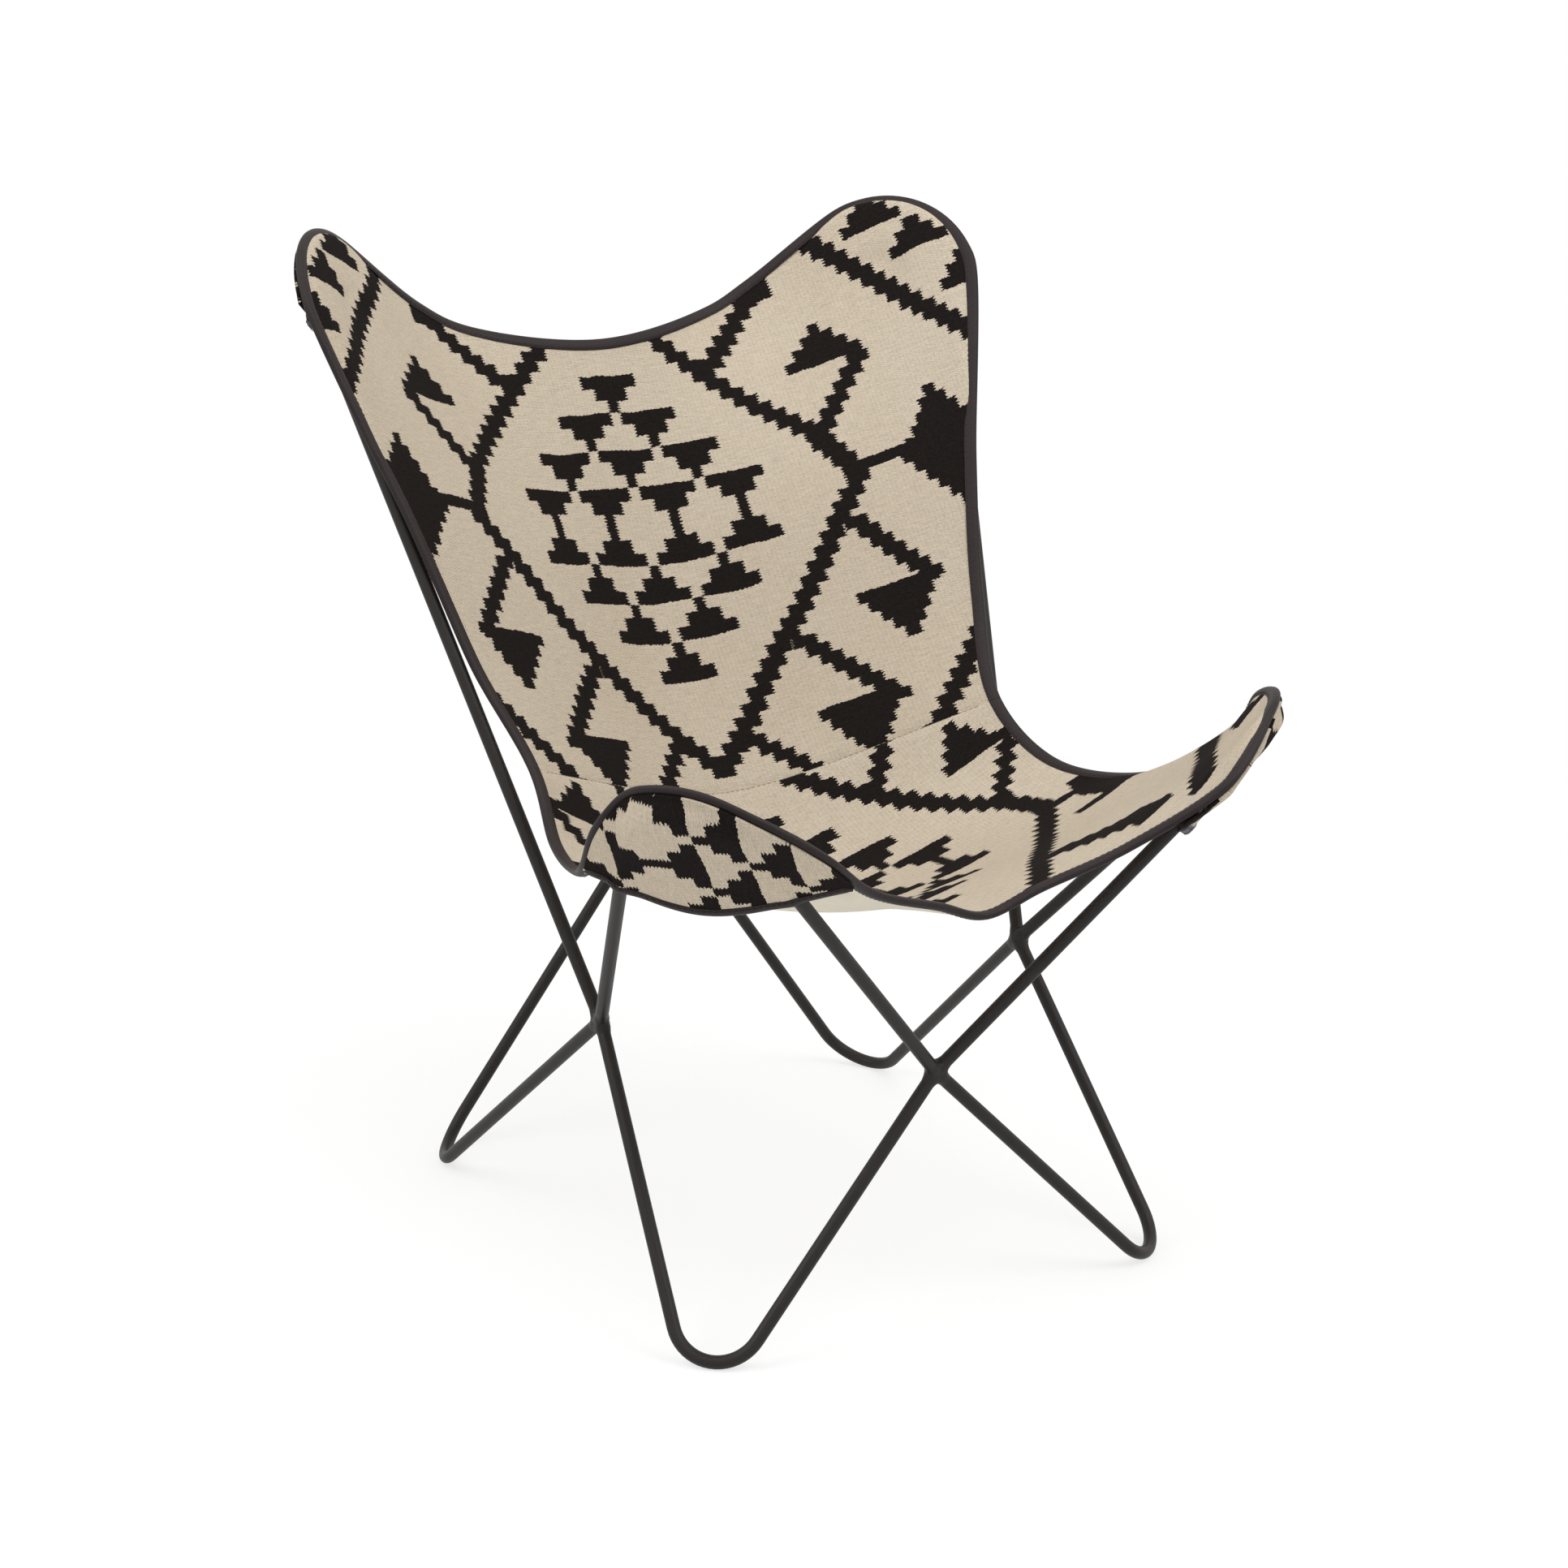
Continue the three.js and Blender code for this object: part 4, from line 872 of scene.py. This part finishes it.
def kilim_pattern(finish, across, along):
    """1 where the black yarn is woven."""
    calc = finish.calc
    mirrored_across = calc("ABSOLUTE", across)
    teeth = calc("SUBTRACT", calc("PINGPONG", along, TOOTH / 2), TOOTH / 4)
    toothed = calc("MULTIPLY_ADD", teeth, 4 * TOOTH_DEPTH / TOOTH, mirrored_across)
    toothed_across = calc("MULTIPLY_ADD", teeth, 4 * TOOTH_DEPTH / TOOTH, across)
    in_field = calc("GREATER_THAN", along, FIELD_FROM)
    in_repeat = calc("FLOORED_MODULO", calc("SUBTRACT", along, FIELD_FROM), REPEAT)
    from_medallion = calc("SUBTRACT", in_repeat, REPEAT - FIELD_FROM + MEDALLION_MIDDLE)
    black, row = stepped_triangles(finish, toothed, calc("ABSOLUTE", from_medallion))
    reach = calc("MULTIPLY_ADD", row, -TRIANGLE_WIDE / 2, 2 * TRIANGLE_WIDE)
    black = calc("MULTIPLY", black, calc("LESS_THAN", toothed, reach))
    black = calc("MULTIPLY", black, calc("SUBTRACT", 1, in_field))
    for motif in BACK_LATTICE + BACK_HOOKS + BACK_LOZENGES + TIP_TRIANGLES:
        black = calc("MAXIMUM", black, woven_motif(finish, toothed, along, motif, 0))
    for motif in SEAT_LATTICE + SEAT_HOOKS + SEAT_LOZENGES:
        black = calc("MAXIMUM", black, woven_motif(finish, toothed, along, motif, 1))
    from_middle = calc("ABSOLUTE", calc("SUBTRACT", along, FIELD_MIDDLE))
    field, _ = stepped_triangles(finish, toothed_across, from_middle)
    return calc("MAXIMUM", black, calc("MULTIPLY", field, in_field))


def kilim():
    finish = Finish("kilim")
    calc = finish.calc
    on_cloth = finish.node("ShaderNodeUVMap", uv_map="cloth").outputs[0]
    parts = finish.node("ShaderNodeSeparateXYZ", {0: on_cloth})
    wander = finish.noise(on_cloth, 9.0, 2.0)
    wobble = finish.noise(on_cloth, 60.0, 2.0)
    across = calc("MULTIPLY", parts.outputs[0], 1 / MM)
    along = calc("MULTIPLY", parts.outputs[1], 1 / MM)
    ragged = finish.noise(finish.stretched(on_cloth, (300, 650, 1)), 1.0, 2.0, 0.6)
    nicked = finish.noise(finish.stretched(on_cloth, (420, 160, 1)), 1.0, 1.0)
    bowed = finish.varied(along, (wander, -7, 7), (wobble, -1.6, 1.6), (nicked, -1.8, 1.8))
    shifted = finish.varied(across, (wobble, 2.0, -2.0), (ragged, -2.6, 2.6))
    black = kilim_pattern(finish, shifted, bowed)

    # Weave: picks of weft over ribs of warp
    pick = calc("DIVIDE", along, PICK)
    crossing = calc("ADD", calc("DIVIDE", across, WARP), calc("FLOOR", pick))
    over = calc("SINE", calc("MULTIPLY", crossing, math.pi))
    arch = calc("SINE", calc("MULTIPLY", calc("FRACT", pick), math.pi))
    yarn = finish.noise(finish.stretched(on_cloth, (70, 800, 1)), 1.0, 3.0)
    speck = finish.noise(finish.stretched(on_cloth, (260, 420, 1)), 1.0, 2.0, 0.7)
    slub = finish.noise(finish.stretched(on_cloth, (75, 330, 1)), 1.0, 2.0)
    height = calc("MULTIPLY_ADD", arch, 0.5, calc("MULTIPLY_ADD", over, 0.3, yarn))

    # Colour: undyed cream wool with darker hairs, and near-black wool, with painted shade of the weave
    drift = finish.noise(on_cloth, 4.0, 3.0)
    cream = finish.blend(drift, (0.46, 0.385, 0.29, 1), (0.57, 0.51, 0.415, 1))
    cream = finish.blend(finish.spread(yarn, -0.35, 0.75), cream, (0.42, 0.34, 0.245, 1))
    hairs = finish.node("ShaderNodeMapRange",
                        {"Value": speck, "From Min": 0.56, "From Max": 0.74, "To Max": 0.5})
    cream = finish.blend(hairs.outputs[0], cream, (0.26, 0.195, 0.135, 1))
    soot = finish.blend(speck, (0.006, 0.0045, 0.0042, 1), (0.016, 0.0125, 0.011, 1))
    # Painted shade: darker in the grooves between picks and where the weft dips under the warp; speck,
    # ragged and slub then add random grain
    weave_shade_and_grain = calc("MULTIPLY_ADD", arch, 0.16, 0.86)
    weave_shade_and_grain = calc("MULTIPLY_ADD", over, 0.05, weave_shade_and_grain)
    weave_shade_and_grain = finish.varied(weave_shade_and_grain, (speck, -0.3, 0.3), (ragged, 0.16, -0.16), (slub, -0.13, 0.13))
    # Painted shade along the warp ribs, in the colour only
    rib = calc("SINE", calc("MULTIPLY", across, 2 * math.pi / RIB_PITCH))
    weave_shade_and_grain = calc("MULTIPLY_ADD", rib, 0.03, weave_shade_and_grain)
    colour = finish.blend(black, cream, soot)
    shaded = finish.node("ShaderNodeVectorMath", {0: colour}, operation="SCALE")
    finish.put(shaded.inputs["Scale"], weave_shade_and_grain)
    finish.set(Base_Color=shaded.outputs[0], Roughness=finish.spread(yarn, 0.86, 0.98),
               Specular_IOR_Level=0.06)
    finish.relief(height, 0.0006, 0.9)
    return finish.material


def plain_canvas():
    finish = Finish("pale_canvas")
    calc = finish.calc
    on_cloth = finish.node("ShaderNodeUVMap", uv_map="cloth").outputs[0]
    parts = finish.node("ShaderNodeSeparateXYZ", {0: on_cloth})
    turns = 2 * math.pi / (CANVAS_THREAD * MM)
    over, under = (calc("SINE", calc("MULTIPLY", parts.outputs[k], turns)) for k in (0, 1))
    check = calc("MULTIPLY", over, under)
    yarn = finish.noise(finish.stretched(on_cloth, (90, 500, 1)), 1.0, 3.0)
    crossing = finish.noise(finish.stretched(on_cloth, (500, 90, 1)), 1.0, 3.0)
    mixed = calc("MULTIPLY", calc("ADD", yarn, crossing), 0.5)
    finish.set(Base_Color=finish.blend(mixed, (0.52, 0.47, 0.37, 1), (0.78, 0.73, 0.62, 1)),
               Roughness=finish.spread(mixed, 0.85, 0.97), Specular_IOR_Level=0.1)
    finish.relief(calc("MULTIPLY_ADD", check, 0.35, mixed), 0.0004, 0.8)
    return finish.material


steel = painted_steel()
hide = dark_leather()
wool = kilim()
canvas = plain_canvas()
dark_thread = thread_of("dark_thread", (0.03, 0.022, 0.02))
seam_thread = thread_of("seam_thread", (0.27, 0.215, 0.155))

# Frame pieces

SIDES = (("left", 1), ("right", -1))
for side_name, side in SIDES:
    turned = (lambda p: p) if side > 0 else mirrored
    weld = turned(SIDE_WELD)
    front_plan = (side * FRONT_FOOT[0], FRONT_FOOT[1])
    rear_plan = (side * REAR_FOOT[0], REAR_FOOT[1])
    rods = {
        "front_foot": foot_bend(weld, front_plan, FRONT_WELD, FRONT_FOOT_BEND),
        "rear_foot": foot_bend(weld, rear_plan, REAR_WELD, REAR_FOOT_BEND),
        "front_wing": bend_of(weld, turned(FRONT_WING_CORNER), FRONT_WELD, FRONT_WING_BEND),
        "back_wing": bend_of(weld, turned(BACK_WING_CORNER), REAR_WELD, BACK_WING_BEND),
    }
    for rod_name, bend in rods.items():
        bent_rod(f"{rod_name}_bar_{side_name}", bend, steel, f"{rod_name}_rod_{side_name}")
for place, centre in WELD_CENTRES.items():
    melted_weld(f"melted_weld_{place}", steel, f"weld_{place}", centre)

# Cover pieces

panels = {
    "back": (panel_rows(rear_side, rear_middle, top_edge, 0), 0, "binding_back"),
    "seat": (panel_rows(fore_side, fore_middle, front_edge, 1), DOWN, "binding_front"),
}
rims = {}
TO_SITTER = np.array([0, -0.6, 0.8])
# Where each piece is cut on the woven length: across, along, and its turn
PANEL_CUTS = {"back": (0, 0, 0), "seat": (0, SEAT_ALONG - REPEAT, 0)}
POCKET_CUTS = {"back": (60, 560, 0), "front": (40, FIELD_MIDDLE + 23, -math.pi / 2)}
for name, (rows, free_row, binding) in panels.items():
    rim = rim_of(rows, free_row)
    rims[name] = rim
    normals = surface_normals(rows, TO_SITTER)
    gap = np.linalg.norm(rows.reshape(-1, 1, 3) - rim["edge"][None], axis=-1)
    near = gap.min(1) < RIM_NEAR
    flat_normals = normals.reshape(-1, 3)
    flat_normals[near] = rim["normal"][gap.argmin(1)[near]]
    inside = drawn_in(rows, rim)
    from_side = 1 - np.abs(np.linspace(-1, 1, ACROSS + 1))
    dip = SEAM_DIP * smooth_step(from_side / SEAM_DIP_EASE)
    inside[DOWN - free_row] -= normals[DOWN - free_row] * dip[:, None]
    up = LAYER_GAP + KILIM / 2
    down = -LAYER_GAP - LINING / 2
    top, top_flat = cloth(f"kilim_{name}", inside, normals, up, KILIM, wool, "kilim", f"{name}_panel",
                          PANEL_CUTS[name])
    under, under_flat = cloth(f"canvas_{name}", inside, normals, down, LINING, canvas, "canvas",
                              f"{name}_lining")
    trim = [leather(f"leather_{binding}", rim, EDGE_SECTION, hide, binding),
            sewing(f"sewing_{binding}", rim, EDGE_SEWING, dark_thread, "leather")]
    if name == "back":
        sewn = slice(SEAM_ENDS, -SEAM_ENDS)
        seam_line = framed(inside[-1, sewn], inside[SEAM_INNER, sewn], 1)
        seam_line["normal"] = normals[-1, sewn]
        seam_sewing = [(0, LAYER_GAP + KILIM + THREAD_UP)]
        trim.append(sewing("sewing_seam", seam_line, seam_sewing, seam_thread, "kilim"))
    size, area = flat_cut(top_flat)
    size, area = flat_cut(under_flat)

left_of = {name: {k: v[rim["edge"][:, 0] > 0] for k, v in rim.items()} for name, rim in rims.items()}
back_left, seat_left = left_of["back"], left_of["seat"]
pocket_shapes = {
    "back": pocket_rows(back_wing, back_left, nearest_place(back_left, top_points[2]),
                        nearest_place(back_left, rear_side.at(BACK_POCKET_TO)), BACK_POCKET_PROFILE,
                        BACK_HEM_LEGS, BACK_POCKET_DROP, BACK_POCKET_BULGE),
    "front": pocket_rows(front_wing, seat_left, nearest_place(seat_left, front_edge.at(FRONT_POCKET_FROM)),
                         nearest_place(seat_left, fore_side.at(FRONT_POCKET_TO)), FRONT_POCKET_PROFILE,
                         FRONT_HEM_LEGS, FRONT_POCKET_DROP, FRONT_POCKET_BULGE),
}
for which, rows in pocket_shapes.items():
    wing = back_wing if which == "back" else front_wing
    fine = lift_off_rod(wing, finer_rows(rows), -wing["inner"], POCKET_REST, ROUND_ROD, ROUND_ROD)
    for side_name, side in SIDES:
        turned_rows = fine if side > 0 else fine * (-1, 1, 1)
        outwards = -wing["inner"] * (side, 1, 1)
        normals = surface_normals(turned_rows, outwards)
        pocket, flat = cloth(
            f"kilim_{which}_pocket_{side_name}", turned_rows, normals, 0, KILIM, wool, "kilim",
            f"{which}_pocket_{side_name}", POCKET_CUTS[which])
        rim = hem_rim(turned_rows)
        full = rim["size"] > HEM_FULL
        full_rim = {key: value[full] for key, value in rim.items()}
        hem = f"{which}_hem_{side_name}"
        trim = [leather(f"leather_{hem}", rim, HEM_SECTION, hide, hem),
                sewing(f"sewing_{hem}", full_rim, HEM_SEWING, dark_thread, "leather")]
        size, area = flat_cut(flat)

# Stage, light and camera

FLOOR_WIDE = 60  # metres, as the lamps' places and sizes are
bpy.ops.object.select_all(action="DESELECT")
bpy.ops.mesh.primitive_plane_add(size=FLOOR_WIDE)
floor = bpy.context.object
floor.name = "floor"

CAMERA_AT = (-1365.4, -2352.3, 1230.4)
CAMERA_RIGHT = (0.86700, -0.49830, 0.00378)
CAMERA_UP = (0.13958, 0.25012, 0.95810)
CAMERA_BACK = (-0.47837, -0.83014, 0.28641)
camera = bpy.data.cameras.new("camera")
camera.sensor_width = 36
camera.lens = 71.13
camera.shift_x = 0.0023
camera.shift_y = -0.0020
eye = bpy.data.objects.new("camera", camera)
bpy.context.scene.collection.objects.link(eye)
axes = Matrix((CAMERA_RIGHT, CAMERA_UP, CAMERA_BACK)).transposed().to_4x4()
eye.matrix_world = Matrix.Translation(in_metres(CAMERA_AT)) @ axes
bpy.context.scene.camera = eye


def seen_directly(tree):
    """1 for rays from the camera, and for those seen in gloss or through a clear piece."""
    path = tree.nodes.new("ShaderNodeLightPath")
    seen = path.outputs["Is Camera Ray"]
    for ray in ("Is Glossy Ray", "Is Transmission Ray"):
        either = tree.nodes.new("ShaderNodeMath")
        either.operation = "MAXIMUM"
        tree.links.new(seen, either.inputs[0])
        tree.links.new(path.outputs[ray], either.inputs[1])
        seen = either.outputs[0]
    return seen


FILL = 0.73  # even light from all round
world = bpy.data.worlds.new("studio")
bpy.context.scene.world = world
world.use_nodes = True
sky = world.node_tree
strength = sky.nodes.new("ShaderNodeMapRange")
strength.inputs["To Min"].default_value = FILL
sky.links.new(seen_directly(sky), strength.inputs["Value"])
sky.nodes["Background"].inputs[0].default_value = (1, 1, 1, 1)
sky.links.new(strength.outputs[0], sky.nodes["Background"].inputs[1])

pale_floor = Finish("pale_floor")
pale_floor.set(Base_Color=(0.93, 0.93, 0.93, 1), Roughness=0.9)
glow = pale_floor.node("ShaderNodeEmission", {0: (1, 1, 1, 1)})
away = pale_floor.node("ShaderNodeVectorMath", {0: pale_floor.object_place()}, operation="LENGTH")
# Further from the chair the floor goes over into the white background
whiter = pale_floor.node(
    "ShaderNodeMapRange", interpolation_type="SMOOTHSTEP",
    inputs={"Value": away.outputs["Value"], "From Min": 0.5, "From Max": 1.6, "To Min": 0.7, "To Max": 1.0})
white_share = pale_floor.calc("MULTIPLY", seen_directly(pale_floor.tree), whiter.outputs[0])
mixed = pale_floor.node("ShaderNodeMixShader", {0: white_share})
pale_floor.put(mixed.inputs[1], pale_floor.surface.outputs[0])
pale_floor.put(mixed.inputs[2], glow.outputs[0])
pale_floor.put(pale_floor.tree.nodes["Material Output"].inputs[0], mixed.outputs[0])
floor.data.materials.append(pale_floor.material)


def soft_lamp(name, place, aim, size, power):
    lamp = bpy.data.lights.new(name, "AREA")
    lamp.shape = "DISK"
    lamp.size = size
    lamp.energy = power
    stand = bpy.data.objects.new(name, lamp)
    bpy.context.scene.collection.objects.link(stand)
    towards = Vector(aim) - Vector(place)
    turn = towards.to_track_quat("-Z", "Y").to_matrix().to_4x4()
    stand.matrix_world = Matrix.Translation(place) @ turn


soft_lamp("top_lamp", (0.1, -0.6, 3.1), (0, -0.1, 0.5), 2.8, 39)
soft_lamp("key_lamp", (1.6, -2.2, 3.0), (0, 0, 0.5), 2.2, 40)
soft_lamp("side_lamp", (-2.4, 0.4, 2.6), (0, 0, 0.5), 2.0, 38)
bpy.context.scene.view_settings.view_transform = "Standard"
